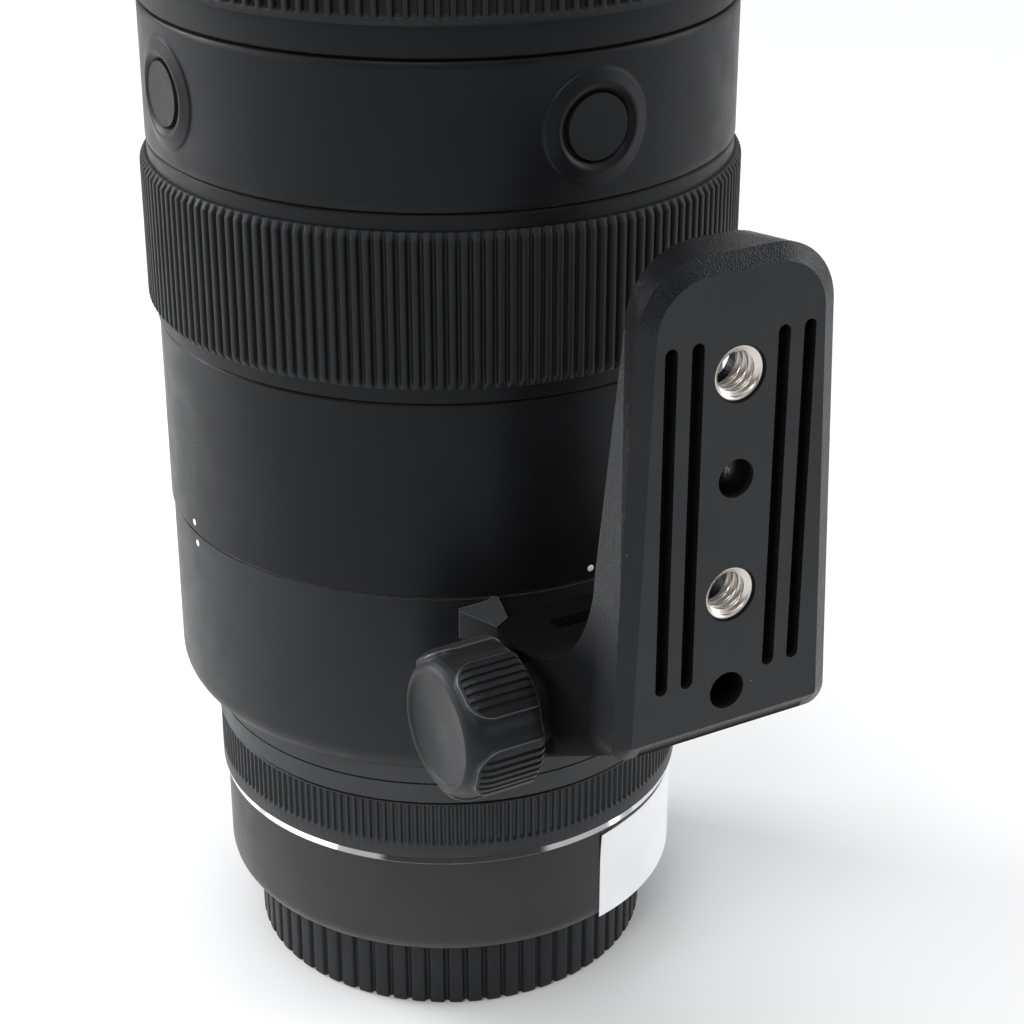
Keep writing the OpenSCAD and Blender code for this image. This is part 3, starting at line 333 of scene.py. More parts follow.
def foot_paint():
    """Coarse blasted paint: smooth on the machined outer face, with painted shade in slots, holes and the
    hollow, and the same darker tone in the nicks.
    """
    s = Shader("foot_paint", Specular_Tint=COOL, Sheen_Weight=FOOT_SHEEN, Sheen_Roughness=SHEEN_ROUGH)
    area = FOOT_AREAS
    x, y, z = s.split(s.place)
    face = s.spread(s.normals()[1], 1, 0, *area["face"])
    hollow = s.math("MULTIPLY", s.spread(y, 0, 1, *metres(area["hollow_y"])),
                    s.spread(z, 1, 0, *metres(area["hollow_z"])))
    between = s.math("LESS_THAN", s.math("ABSOLUTE", x, 0), area["slot_half_x"] * MM)
    among_slots = s.math("MULTIPLY", between, s.math("LESS_THAN", z, area["slot_top_z"] * MM))
    below_face = s.math("MULTIPLY", s.spread(y, 0, 1, *metres(area["slot_mouth_y"])),
                        s.spread(y, 1, 0, *metres(area["slot_floor_y"])))
    sunk = s.math("MULTIPLY", below_face, among_slots)
    nicks = s.math("MAXIMUM", *(s.nick(place) for place in FOOT_NICKS))
    # Painted shade: the hollow and the slot and hole floors get darker, less glossy paint that stands in
    # for the shade in them; the nicks are real dents
    shade_and_nicks = s.math("MAXIMUM", nicks, s.math("MAXIMUM", hollow, sunk))

    patches = s.spread(s.noise(FOOT_TONE["patch_mm"]), 0, 1)
    tone = s.mix(patches, FOOT_TONE["dark"], FOOT_TONE["light"])
    tone = s.mix(shade_and_nicks, tone, FOOT_TONE["shade_and_nicks"])
    s.colour(s.mix(s.specks(**FOOT_DUST), tone, FOOT_TONE["dust"]))
    s.level(s.math("MULTIPLY", s.spread(face, FOOT_LEVEL["sides"], FOOT_LEVEL["face"], 0, 1),
                   s.spread(shade_and_nicks, 1, FOOT_LEVEL["shade_level_share"], 0, 1)))
    s.rough(s.math("ADD", s.spread(s.noise(FOOT_ROUGH["patch_mm"]), *FOOT_ROUGH["range"]),
                   s.math("MULTIPLY", shade_and_nicks, FOOT_ROUGH["shade_and_nicks"])))

    grit = s.noise(FOOT_BUMP["grit_mm"], detail=1.0, roughness=0.5)
    fine = s.noise(FOOT_BUMP["fine_mm"], detail=2.0)
    height = s.math("ADD", s.math("MULTIPLY", grit, s.math("SUBTRACT", 1.0, face)),
                    s.math("MULTIPLY", fine, FOOT_BUMP["fine"]))
    height = s.math("SUBTRACT", height, s.math("MULTIPLY", nicks, FOOT_BUMP["nick"]))
    s.normal(s.bump(height, FOOT_BUMP["height_mm"]))
    return s.material


# Painted light: the collar, rear tube and control ring use lighter, glossier copies of the body paint,
# standing in for the brighter light on the lower parts
BODY = coated("body_paint", (0.0042, 0.0044, 0.0049), 0.43, 0.17, sheen=0.045)
COLLAR = coated("collar_paint", (0.0050, 0.0052, 0.0057), 0.44, 0.30, sheen=0.045, shaded_top=True)
BUTTON = coated("button_paint", (0.0068, 0.0070, 0.0075), 0.48, 0.18, sheen=0.02)
NECK = coated("neck_paint", (0.0150, 0.0152, 0.0160), 0.46, 0.46, sheen=0.03)
REAR = coated("rear_paint", (0.0140, 0.0136, 0.0134), 0.45, 0.40, 0.2, 0.003, sheen=0.12, gloss=PLAIN)
CONTROL_PAINT = coated("control_paint", (0.0120, 0.0122, 0.0128), 0.46, 0.36)
RUBBER = coated("grip_rubber", (0.0064, 0.0065, 0.0068), 0.56, 0.25, 0.1, 0.004, dust=0.0)
PLASTIC = coated("cap_plastic", (0.0092, 0.0094, 0.0100), 0.50, 0.32, 0.18, 0.006)
KNOB_GRIP = coated("knob_plastic", (0.0075, 0.0077, 0.0082), 0.46, 0.25, grain=0.008, sheen=0.07)
# Painted highlight: a lighter copy of the knob paint for the rims of the pads
KNOB_EDGE_HIGHLIGHT = coated("knob_edge_highlight", (0.050, 0.051, 0.053), 0.40, 0.5, grain=0.008)
# Painted highlight: a much lighter copy of the collar paint for the collar's bevels, standing in for the
# light its edges catch
COLLAR_EDGE_HIGHLIGHT = coated("collar_edge_highlight", (0.085, 0.088, 0.094), 0.38, 0.5, grain=0.003)
FOOT_PAINT = foot_paint()
INNER = coated("inner_black", (0.006, 0.006, 0.0065), 0.7, 0.15, 0.25, 0.004, dust=0.0)
ANODISED = metal("inner_metal", (0.10, 0.10, 0.11), 0.4)
CHROME = metal("polished_trim", (0.66, 0.66, 0.67), 0.07, grain=0.0003)
STEEL = metal("turned_steel", (0.62, 0.58, 0.53), 0.32)
BRASS = metal("brass", (0.62, 0.48, 0.22), 0.3)
GLASS = glass("lens_glass", (0.93, 0.96, 0.95), (0.80, 0.70, 0.95))
WINDOW = coated("display_window", (0.004, 0.0045, 0.006), 0.12, 0.5, 3, 0.0002, dust=0.01)
WHITE = coated("white_ink", (0.74, 0.74, 0.73), 0.5, 0.4, 0.25, 0.004, dust=0.0, drift=0.04, gloss=PLAIN)
PAPER = coated("label_paper", (0.83, 0.835, 0.85), 0.62, 0.3, 0.3, 0.004, dust=0.0, drift=0.03, gloss=PLAIN)

# Materials by the record's slot, and for nodes whose paint differs from their slot's; the collar, rear tube
# and control ring partly paint in light
FN_BUTTONS = [f"fn_button_{i + 1}" for i in range(4)]
SLOT_MATERIAL = {
    "body_paint": BODY, "rear_paint": REAR, "grip_rubber": RUBBER, "foot_paint": FOOT_PAINT,
    "polished_trim": CHROME, "mount_metal": STEEL, "cap_plastic": PLASTIC, "inner_black": INNER,
    "inner_metal": ANODISED, "brass": BRASS, "lens_glass": GLASS, "display_glass": WINDOW,
}
NODE_MATERIAL = {
    **dict.fromkeys(FN_BUTTONS, BUTTON),
    "lock_knob": KNOB_GRIP, "knob_cap": KNOB_GRIP, "knob_screw": INNER, "tripod_collar": COLLAR,
    "rear_tube": NECK, "control_ring": CONTROL_PAINT,
}

# Widths of softened edges in millimetres, and nodes whose edges get a painted highlight, a lighter tone on
# their bevels
BEVELS = {
    **dict.fromkeys(FN_BUTTONS + ["display_button", "side_button", "foot"], 0.25),
    **dict.fromkeys(["switch_plate", "focus_switch", "limit_switch"], 0.15),
    "tripod_collar": 0.4, "rear_barrel": 0.1, "front_barrel": 0.12,
}
EDGE_HIGHLIGHT = {"tripod_collar": COLLAR_EDGE_HIGHLIGHT}
BEVEL_FROM = 28
BEVEL_SEGMENTS = 2
WELD_WITHIN = 1e-6
FOOT_SPLIT = 8


def soften_edges(obj, width, material_index):
    """Rounds the sharp edges of a CAD node."""
    weld = obj.modifiers.new("weld", "WELD")
    weld.merge_threshold = WELD_WITHIN
    bevel = obj.modifiers.new("bevel", "BEVEL")
    bevel.width = width * MM
    bevel.segments = BEVEL_SEGMENTS
    bevel.limit_method = "ANGLE"
    bevel.angle_limit = math.radians(BEVEL_FROM)
    bevel.material = material_index


def dress_cad_nodes():
    """Gives every CAD node its material and softens the edges that show."""
    for sub in frame["record"]["subparts"]:
        name = sub["node"]
        obj = NODES[name]
        obj.data.materials.clear()
        obj.data.materials.append(NODE_MATERIAL.get(name, SLOT_MATERIAL[sub["material_slot"]]))
        # Painted highlight: the bevel faces of these nodes take the lighter edge paint
        if name in EDGE_HIGHLIGHT:
            obj.data.materials.append(EDGE_HIGHLIGHT[name])
        if name in BEVELS:
            soften_edges(obj, BEVELS[name], 1 if name in EDGE_HIGHLIGHT else -1)


def smooth_foot():
    """Shades the foot's rounded corners smooth, and splits its shading at every real edge."""
    foot = NODES["foot"]
    foot.data.attributes.remove(foot.data.attributes["custom_normal"])
    foot.data.polygons.foreach_set("use_smooth", [True] * len(foot.data.polygons))
    split = foot.modifiers.new("split", "EDGE_SPLIT")
    split.split_angle = math.radians(FOOT_SPLIT)
    split.use_edge_sharp = False


# Ribbed rings: a shape is (share of the pitch, height) round one rib, a row is (height, fade)

RIB_SHAPE = [(0.00, 0.0), (0.10, 0.0), (0.16, 0.25), (0.22, 0.75), (0.29, 0.96), (0.40, 1.0), (0.60, 1.0),
             (0.71, 0.96), (0.78, 0.75), (0.84, 0.25), (0.90, 0.0)]
SLOT_SHAPE = [(0.00, 0.0), (0.20, 0.0), (0.26, 0.06), (0.30, 0.5), (0.33, 0.94), (0.37, 1.0), (0.63, 1.0),
              (0.67, 0.94), (0.70, 0.5), (0.74, 0.06), (0.80, 0.0)]
TOOTH_SHAPE = [(0.00, 0.0), (0.18, 0.0), (0.25, 0.12), (0.32, 0.8), (0.38, 1.0), (0.62, 1.0), (0.68, 0.8),
               (0.75, 0.12), (0.82, 0.0)]
FOCUS_END = [(0.0, 0.0), (0.12, 0.05), (0.9, 0.9), (1.15, 1.0)]
ZOOM_END = [(0.0, -0.35), (0.12, 0.0), (0.95, 0.0), (1.1, 0.1), (1.3, 0.9), (1.5, 1.0)]
CONTROL_LOW = [(0.0, -0.5), (0.2, 0.0), (2.3, 0.0), (2.4, 0.05), (2.7, 0.9), (2.9, 1.0)]
CONTROL_HIGH = [(0.0, -0.4), (0.12, 0.0), (0.2, 0.05), (0.4, 0.9), (0.6, 1.0)]


def round_ring(ribs, shape):
    """Azimuths and heights of a rib shape that repeats round a ring."""
    return [((i + share) * 360 / ribs, height) for i in range(ribs) for share, height in shape]


def end_rows(z, low, high):
    """Rows of a ring from the fade values at its two ends, with full ribs between them."""
    z0, z1 = z
    first = [(z0 + d, fade) for d, fade in low]
    middle = [(z0 + (z1 - z0) * k / 6, 1.0) for k in range(2, 5)]
    last = [(z1 - d, fade) for d, fade in reversed(high)]
    return first + middle + last


def raised_rib(tip, depth, height, fade):
    """Radius of a rib that stands on a ring and sinks into it as it fades."""
    return tip - depth + depth * height * fade


def cut_groove(tip, depth, height, fade):
    """Radius of a groove cut into a ring; a negative fade bevels the whole edge."""
    return tip - depth * ((1 - height) * fade if fade > 0 else -fade)


def ribbed(name, spec, shape, rows, radius, material, body):
    """Ring whose outer radius follows a rib shape round it and a fade along it."""
    tip, depth, bore = spec["tip"], spec["depth"], spec["bore"]
    around = round_ring(spec["ribs"], shape)
    verts = [polar(bore, az, spec["z"][0]) for az, _ in around]
    for z, fade in rows:
        verts += [polar(radius(tip, depth, height, fade), az, z) for az, height in around]
    verts += [polar(bore, az, spec["z"][1]) for az, _ in around]
    faces = ring_faces(len(rows) + 2, len(around))
    return piece(name, verts, faces, material, body, smooth_angle=75)


def make_ribbed_rings():
    """Rubber grips of the focus and zoom rings, and the control ring's teeth."""
    rows = end_rows(FOCUS_GRIP["z"], FOCUS_END, FOCUS_END)
    focus = ribbed("focus_grip_rubber", FOCUS_GRIP, RIB_SHAPE, rows, raised_rib, RUBBER,
                   "focus_ring")
    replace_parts(focus, "focus_grip")
    rows = end_rows(ZOOM_GRIP["z"], ZOOM_END, ZOOM_END)
    zoom = ribbed("zoom_grip_rubber", ZOOM_GRIP, SLOT_SHAPE, rows, cut_groove, RUBBER,
                  "zoom_ring")
    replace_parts(zoom, "zoom_grip")
    rows = end_rows(CONTROL["z"], CONTROL_LOW, CONTROL_HIGH)
    control = ribbed("control_ring_ribs", CONTROL, TOOTH_SHAPE, rows, cut_groove, CONTROL_PAINT,
                     "control_ring")
    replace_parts(control, "control_ring")


# Button band, whose four buttons sit in raised bosses of (distance from the button's axis, rise)

BOSS = [(8.2, 0.0), (7.78, 0.0), (7.7, 0.05), (7.62, 0.16), (7.5, 0.23), (7.3, 0.27), (6.7, 0.42),
        (6.15, 0.58), (5.95, 0.63), (5.75, 0.64), (5.55, 0.58), (5.3, 0.42), (5.0, 0.16), (4.75, -0.06),
        (4.62, -0.3), (4.55, -0.6), (4.53, -3.2)]
BOSS_AZ = 16
BAND_STEPS = 20
BLEND_SHARES = (0.75, 0.5, 0.25)


def make_band():
    """Ring with a polar patch around each button, so that the boss is round and smooth."""
    (z0, z1), bevel, bore = BAND["z"], BAND["bevel"], BAND["bore"]
    mid = (z0 + z1) / 2
    low, high = z0 + bevel, z1 - bevel
    heights = [low + (high - low) * k / BAND_STEPS for k in range(BAND_STEPS + 1)]
    verts, faces, index = [], [], {}

    def point(r, az, z):
        key = (round(r, 4), round(az % 360, 4), round(z, 4))
        if key not in index:
            index[key] = len(verts)
            verts.append(polar(r, az, z))
        return index[key]

    def patch_row(centre, edge, distance, share, rise):
        """Points at a distance from a button's axis, or at a share of the way from there to the edge."""
        row = []
        for az, z in edge:
            across, up = math.radians(az - centre) * BAND_R, z - mid
            reach = math.hypot(across, up)
            d = distance + (reach - distance) * share
            turn = math.degrees(across / reach * d / BAND_R)
            row.append(point(BAND_R + rise, centre + turn, mid + up / reach * d))
        return row

    outline = ([(bore, z0), (BAND_R - bevel, z0)] + [(BAND_R, z) for z in heights]
               + [(BAND_R - bevel, z1), (bore, z1)])
    for j in range(360):
        near = min((j + 0.5 - FOOT_AZ) % 90, (FOOT_AZ - j - 0.5) % 90)
        for (ra, za), (rb, zb) in zip(outline, outline[1:] + outline[:1]):
            if near < BOSS_AZ and ra == rb == BAND_R:
                continue
            faces.append((point(ra, j, za), point(ra, j + 1, za), point(rb, j + 1, zb), point(rb, j, zb)))
    for i in range(4):
        centre = FOOT_AZ + 90 * i
        edge = [(centre - BOSS_AZ + k, low) for k in range(2 * BOSS_AZ)]
        edge += [(centre + BOSS_AZ, z) for z in heights[:-1]]
        edge += [(centre + BOSS_AZ - k, high) for k in range(2 * BOSS_AZ)]
        edge += [(centre - BOSS_AZ, z) for z in reversed(heights[1:])]
        rows = [[point(BAND_R, az, z) for az, z in edge]]
        rows += [patch_row(centre, edge, BOSS[0][0], share, 0) for share in BLEND_SHARES]
        rows += [patch_row(centre, edge, d, 0, rise) for d, rise in BOSS]
        for a, b in zip(rows, rows[1:]):
            faces += [(a[k], a[(k + 1) % len(a)], b[(k + 1) % len(a)], b[k]) for k in range(len(a))]
    obj = piece("button_band_shell", verts, faces, BODY, "barrel", smooth_angle=50)
    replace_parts(obj, "button_band")


# Polished ring below the control ring: (inset from its radius, rise) of its outer side

TRIM_SIDE = [(0.02, 0.0), (0.0, 0.04), (0.32, 0.74)]
TRIM_HEIGHT = 0.77
TRIM_COLS = 240


def make_trim():
    """Ring whose outer side leans in, so that it catches the light."""
    bore, r, z0 = TRIM["bore"], TRIM["r"], TRIM["z"]
    side = [(r - inset, z0 + rise) for inset, rise in TRIM_SIDE]
    profile = [(bore, z0)] + side + [(bore, z0 + TRIM_HEIGHT)]
    verts = [polar(x, 360 * j / TRIM_COLS, z) for x, z in profile for j in range(TRIM_COLS)]
    faces = ring_faces(len(profile), TRIM_COLS)
    obj = piece("trim_ring_bead", verts, faces, CHROME, "barrel", smooth_angle=5)
    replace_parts(obj, "trim_ring")


# Rear cap with rounded ribs that run out at its lower edge

CAP_SHAPE = [(0.00, 0.0), (0.07, 0.06), (0.12, 0.40), (0.16, 0.82), (0.21, 0.97), (0.30, 1.0), (0.70, 1.0),
             (0.79, 0.97), (0.84, 0.82), (0.88, 0.40), (0.93, 0.06)]
# The underside is (radius, height); the side is (height, inset) from below and (depth, inset) from above
CAP_UNDER = [(9.6, 0.5), (10.0, 0.0), (26.4, 0.0), (27.0, 0.35), (28.6, 0.35), (29.2, 0.0)]
CAP_LOW = [(0.0, 0.55), (0.1, 0.28), (0.3, 0.08), (0.6, 0.0)]
CAP_HIGH = [(0.5, 0.0), (0.2, 0.1), (0.0, 0.4)]


def make_cap():
    """Ribbed cup that the lens stands on."""
    tip, depth, top = CAP["tip"], CAP["depth"], CAP["top"]
    around = round_ring(CAP["ribs"], CAP_SHAPE)
    verts = [polar(r, az, z) for r, z in CAP_UNDER for az, _ in around]
    for z, inset in CAP_LOW + [(top - d, inset) for d, inset in CAP_HIGH]:
        verts += [polar(tip - inset - depth * (1 - height), az, z) for az, height in around]
    verts += [polar(CAP["bore"], az, top) for az, _ in around]
    cols = len(around)
    faces = ring_faces(len(verts) // cols, cols, close_rows=False)
    faces.append(tuple(range(cols)))
    obj = piece("rear_cap_shell", verts, faces, PLASTIC, "rear_cap", smooth_angle=60)
    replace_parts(obj, "rear_cap")


# Screw threads: the foot's inserts and the filter ring

THREAD_LIP = 0.08
THREAD_FLANK = (0.1, 0.9)


def threaded(name, spec, place, material, body):
    """Ring with a screw thread in its bore and a countersink at its front end."""
    minor, major, out, pitch = spec["minor"], spec["major"], spec["out"], spec["pitch"]
    low, high = spec["ends"]
    cols = spec["cols"]
    mouth = out - THREAD_LIP
    count = int((high - low) / pitch * spec["steps"])
    verts = []
    for i in range(count + 1):
        n = low + (high - low) * i / count
        cone = mouth - (mouth - minor) * (high - n) / spec["sink"]
        for j in range(cols):
            turn = j / cols
            wave = abs(2 * ((n / pitch - turn) % 1) - 1)
            r = minor + (major - minor) * ease(wave, *THREAD_FLANK)
            verts.append(place(max(r, cone), 360 * turn, n))
    for n in (high, low):
        verts += [place(out, 360 * j / cols, n) for j in range(cols)]
    return piece(name, verts, ring_faces(count + 3, cols), material, body, smooth_angle=60)


def socket_place(z):
    """Gives points round an insert of the foot, whose axis lies along -Y at a height."""
    def place(r, az, n):
        a = math.radians(az)
        return Vector((r * math.cos(a), -n, z + r * math.sin(a))) * MM
    return place


def make_threads():
    """Two inserts, of which the first stands for their shared node, and the filter ring."""
    coils = [threaded(f"socket_coil_{k + 1}", SOCKET, socket_place(z), STEEL, "collar")
             for k, z in enumerate(SOCKET_Z)]
    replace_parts(coils[0], "socket_inserts")
    ring = threaded("filter_thread", FILTER, polar, BODY, "barrel")
    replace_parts(ring, "filter_ring")


# Lock knob: five pads with grooves, flutes between them, and a dished end

# A station is the distance from the knob's inner end; outlines are (station, radius), the rim the reverse
KNOB_LOW = [(0, 9.0), (0.4, 9.6), (1.2, 10.0), (7.4, 10.0), (8.6, 9.93), (9.6, 9.65), (10.3, 9.25),
            (10.8, 8.85), (11.1, 8.5), (11.3, 8.15)]
KNOB_PAD = [(0, 9.2), (0.4, 9.9), (1.2, 10.5), (8.2, 10.5), (9.2, 10.36), (10.0, 10.05), (10.6, 9.6),
            (11.3, 8.6)]
KNOB_RIM = [(8.0, 11.3), (7.75, 11.22), (7.5, 11.0), (7.3, 10.8)]
KNOB_STATIONS = [0, 0.2, 0.4, 0.8, 1.2, 2.0] + [2.5 + 0.5 * k for k in range(8)]
KNOB_STATIONS += [6.1 + 0.1 * k for k in range(51)] + [11.2, 11.3]
KNOB_COLS = 1080
PAD = {"half": 4.5, "end": 10.5, "round": 3.4, "step": (-0.14, 0.16)}
FLUTE = {"depth": 0.25, "across": (4.6, 6.6), "along": (8.0, 10.5)}
GROOVE = {"half": 0.27, "depth": 0.36, "margin": (0.45, 0.7), "start": (0.2, 0.6)}
GROOVE_AZ = [6.4 * (k - 2.5) for k in range(6)]
# Painted highlight: the band just inside each pad's outline, short of its end, takes the lighter paint
PAD_RIM_HIGHLIGHT = {"inside": (0.02, 0.26), "end": 10.6}
DISH = {"r": 7.5, "rim": 10.9, "depth": 0.9, "cols": 96, "rings": 24}


def knob_point(r, az, station):
    """Point in the knob's own cylinder, whose axis lies along X."""
    a = math.radians(az)
    return Vector((KNOB["x"] - station, -KNOB["out"] - r * math.cos(a), KNOB["z"] + r * math.sin(a))) * MM


def inside_pad(across, station):
    """Distance inside a pad's rounded outline, negative outside it."""
    dx, ds = across - (PAD["half"] - PAD["round"]), station - (PAD["end"] - PAD["round"])
    if max(dx, ds) <= 0:
        return PAD["round"] - max(dx, ds)
    return PAD["round"] - math.hypot(max(dx, 0), max(ds, 0))


def knob_radius(az, station):
    """Outer radius of the knob, and the distance inside the nearest pad's outline."""
    pitch = 360 / KNOB["pads"]
    off = (az - KNOB["flute_az"]) % pitch - pitch / 2
    across = abs(math.radians(off)) * KNOB["r"]
    inside = inside_pad(across, station)
    low, pad = along(KNOB_LOW, station), along(KNOB_PAD, station)
    flute = FLUTE["depth"] * ease(across, *FLUTE["across"]) * (1 - ease(station, *FLUTE["along"]))
    r = low - flute + (pad - low) * ease(inside, *PAD["step"])
    for groove_az in GROOVE_AZ:
        share = math.radians(off - groove_az) * KNOB["r"] / GROOVE["half"]
        if abs(share) < 1:
            fade = ease(inside, *GROOVE["margin"]) * ease(station, *GROOVE["start"])
            r -= GROOVE["depth"] * math.sqrt(1 - share ** 2) * fade
    return r, inside


def make_knob():
    """Knob with a painted highlight: the rounded rims of its pads in a lighter tone."""
    cols = KNOB_COLS
    turns = [360 * j / cols for j in range(cols)]
    verts, highlit = [], []
    for station in KNOB_STATIONS:
        for az in turns:
            r, inside = knob_radius(az, station)
            verts.append(knob_point(r, az, station))
            highlit.append(PAD_RIM_HIGHLIGHT["inside"][0] < inside < PAD_RIM_HIGHLIGHT["inside"][1] and station < PAD_RIM_HIGHLIGHT["end"])
    verts += [knob_point(r, az, station) for r, station in KNOB_RIM for az in turns]
    highlit += [False] * (len(verts) - len(highlit))
    rows = len(KNOB_STATIONS) + len(KNOB_RIM)
    faces = ring_faces(rows, cols, close_rows=False)
    faces += [tuple(range(cols)), tuple((rows - 1) * cols + j for j in range(cols))]
    obj = piece("lock_knob_grip", verts, faces, KNOB_GRIP, "lock_knob", smooth_angle=60)
    # Painted highlight on the rounded rims of the pads
    obj.data.materials.append(KNOB_EDGE_HIGHLIGHT)
    for polygon in obj.data.polygons:
        if len(polygon.vertices) == 4 and all(highlit[v] for v in polygon.vertices):
            polygon.material_index = 1
    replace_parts(obj, "lock_knob")


def make_knob_dish():
    """Hollow disc in the knob's end."""
    cols, rings = DISH["cols"], DISH["rings"]
    verts = []
    for i in range(rings):
        share = 1 - i / rings
        station = DISH["rim"] - DISH["depth"] * (1 - share ** 3)
        verts += [knob_point(DISH["r"] * share, 360 * j / cols, station) for j in range(cols)]
    verts.append(knob_point(0, 0, DISH["rim"] - DISH["depth"]))
    faces = ring_faces(rings, cols, close_rows=False)
    faces += fan_faces((rings - 1) * cols, cols, len(verts) - 1)
    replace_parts(piece("knob_end_dish", verts, faces, KNOB_GRIP, "lock_knob"), "knob_cap")


# White paint: dots, zoom scale and index

DOT_RINGS = [(1.0, 0.0), (0.92, 0.03), (0.6, 0.05)]
DOT_TOP = 0.055
DOT_COLS = 24
DOT_AZ = -89.6
DOT_R = 0.5
BODY_DOT_Z = 78.45
COLLAR_DOT_Z = 75.0
MOUNT_DOT = {"az": 90, "z": 17.0, "radius": 0.8}
SCALE_AZ = {"70": 90, "85": 72, "105": 52, "135": 32, "200": 10}
SCALE = {"z": 154.2, "height": 2.1, "pen": 0.3}
INDEX = {"az": 90, "z": 150.2, "height": 2.0, "pen": 0.3}
FIGURE_ADVANCE = 0.80
FIGURE_WIDTH = 0.56
PEN_PROFILE = [(-1, 0.0), (-0.8, 0.035), (0.8, 0.035), (1, 0.0)]


def ink_dot(name, r, az, z, radius, body):
    """Drop of white paint on a cylinder."""
    verts = []
    for share, rise in DOT_RINGS:
        for j in range(DOT_COLS):
            a = TAU * j / DOT_COLS
            across, up = radius * share * math.cos(a), radius * share * math.sin(a)
            verts.append(polar(r + rise, az + math.degrees(across / r), z + up))
    verts.append(polar(r + DOT_TOP, az, z))
    faces = ring_faces(len(DOT_RINGS), DOT_COLS, close_rows=False)
    faces += fan_faces((len(DOT_RINGS) - 1) * DOT_COLS, DOT_COLS, len(verts) - 1)
    return piece(name, verts, faces, WHITE, body)


def bow(x, y, rx, ry, start, end, steps):
    """Arc of an ellipse, as points of a pen stroke."""
    angles = [math.radians(start + (end - start) * k / steps) for k in range(steps + 1)]
    return [(x + rx * math.cos(a), y + ry * math.sin(a)) for a in angles]


STROKES = {
    "0": [bow(0.28, 0.5, 0.26, 0.5, 90, 450, 24)],
    "1": [[(0.08, 0.80), (0.32, 1.0), (0.32, 0.0)]],
    "2": [bow(0.28, 0.72, 0.26, 0.28, 165, -35, 12) + [(0.02, 0.0), (0.56, 0.0)]],
    "3": [bow(0.26, 0.75, 0.24, 0.25, 150, -90, 12) + bow(0.26, 0.25, 0.28, 0.25, 88, -150, 12)],
    "5": [[(0.50, 1.0), (0.09, 1.0), (0.05, 0.55)] + bow(0.27, 0.31, 0.27, 0.31, 125, -150, 14)],
    "7": [[(0.0, 1.0), (0.54, 1.0), (0.18, 0.0)]],
    "8": [bow(0.28, 0.76, 0.22, 0.24, -90, 270, 20), bow(0.28, 0.26, 0.27, 0.26, 90, 450, 20)],
    "|": [[(0.0, 0.0), (0.0, 1.0)]],
}


def ink_text(name, text, r, az, z, height, pen, body):
    """Painted figures that follow a cylinder, drawn with a pen of one width."""
    verts, faces = [], []
    width = FIGURE_ADVANCE * (len(text) - 1) + (FIGURE_WIDTH if text != "|" else 0)
    across = len(PEN_PROFILE)
    for k, sign in enumerate(text):
        for line in STROKES[sign]:
            points = [((x + k * FIGURE_ADVANCE - width / 2) * height, (y - 0.5) * height) for x, y in line]
            closed = math.dist(points[0], points[-1]) < 1e-6
            if closed:
                points = points[:-1]
            n, base = len(points), len(verts)
            for i, (x, y) in enumerate(points):
                before = points[i - 1] if i or closed else (x, y)
                after = points[(i + 1) % n] if i < n - 1 or closed else (x, y)
                dx, dy = after[0] - before[0], after[1] - before[1]
                size = math.hypot(dx, dy)
                for side, rise in PEN_PROFILE:
                    px, py = x - dy / size * side * pen / 2, y + dx / size * side * pen / 2
                    verts.append(polar(r + rise, az + math.degrees(px / r), z + py))
            for i in range(n if closed else n - 1):
                a, b = base + across * i, base + across * ((i + 1) % n)
                faces += [(a + q, a + q + 1, b + q + 1, b + q) for q in range(across - 1)]
    return piece(name, verts, faces, WHITE, body)


def make_marks():
    """Dots a quarter turn apart on the body, one each on collar and mount, zoom scale and index."""
    for i in range(4):
        ink_dot(f"body_dot_{i + 1}", BODY_R, DOT_AZ + 90 * i, BODY_DOT_Z, DOT_R, "barrel")
    ink_dot("collar_dot", COLLAR_R, DOT_AZ + 270, COLLAR_DOT_Z, DOT_R, "collar")
    ink_dot("mount_dot", REAR_R, body="barrel", **MOUNT_DOT)
    for text, az in SCALE_AZ.items():
        ink_text(f"zoom_scale_{text}", text, RING_R, az, body="zoom_ring", **SCALE)
    ink_text("zoom_index", "|", BAND_R, body="barrel", **INDEX)


# Blank paper label

LABEL = {"az": (-78.4, -14.0), "z": (13.2, 28.2), "thick": 0.09, "gap": 0.02, "cols": 48, "rows": 18}
LOOSE = {"lift": 0.28, "across": 6, "up": 2.4}


def make_label():
    """Paper stuck round the rear barrel, with its upper left corner a little loose."""
    (az0, az1), (z0, z1), cols, rows = LABEL["az"], LABEL["z"], LABEL["cols"], LABEL["rows"]
    verts = []
    for side in (0.0, LABEL["thick"]):
        for i in range(rows + 1):
            v = i / rows
            for j in range(cols + 1):
                u = j / cols
                corner = max(0, 1 - math.hypot(u * LOOSE["across"], (1 - v) * LOOSE["up"])) ** 2
                lift = LABEL["gap"] + side + LOOSE["lift"] * corner
                verts.append(polar(REAR_R + lift, az0 + (az1 - az0) * u, z0 + (z1 - z0) * v))

    def at(sheet, i, j):
        return (sheet * (rows + 1) + i) * (cols + 1) + j

    faces = [(at(s, i, j), at(s, i, j + 1), at(s, i + 1, j + 1), at(s, i + 1, j))
             for s in (0, 1) for i in range(rows) for j in range(cols)]
    edge = ([(0, j) for j in range(cols)] + [(i, cols) for i in range(rows)]
            + [(rows, j) for j in range(cols, 0, -1)] + [(i, 0) for i in range(rows, 0, -1)])
    faces += [(at(0, *a), at(0, *b), at(1, *b), at(1, *a)) for a, b in zip(edge, edge[1:] + edge[:1])]
    piece("paper_label", verts, faces, PAPER, "barrel")


# Stage: floor, light and camera, in metres

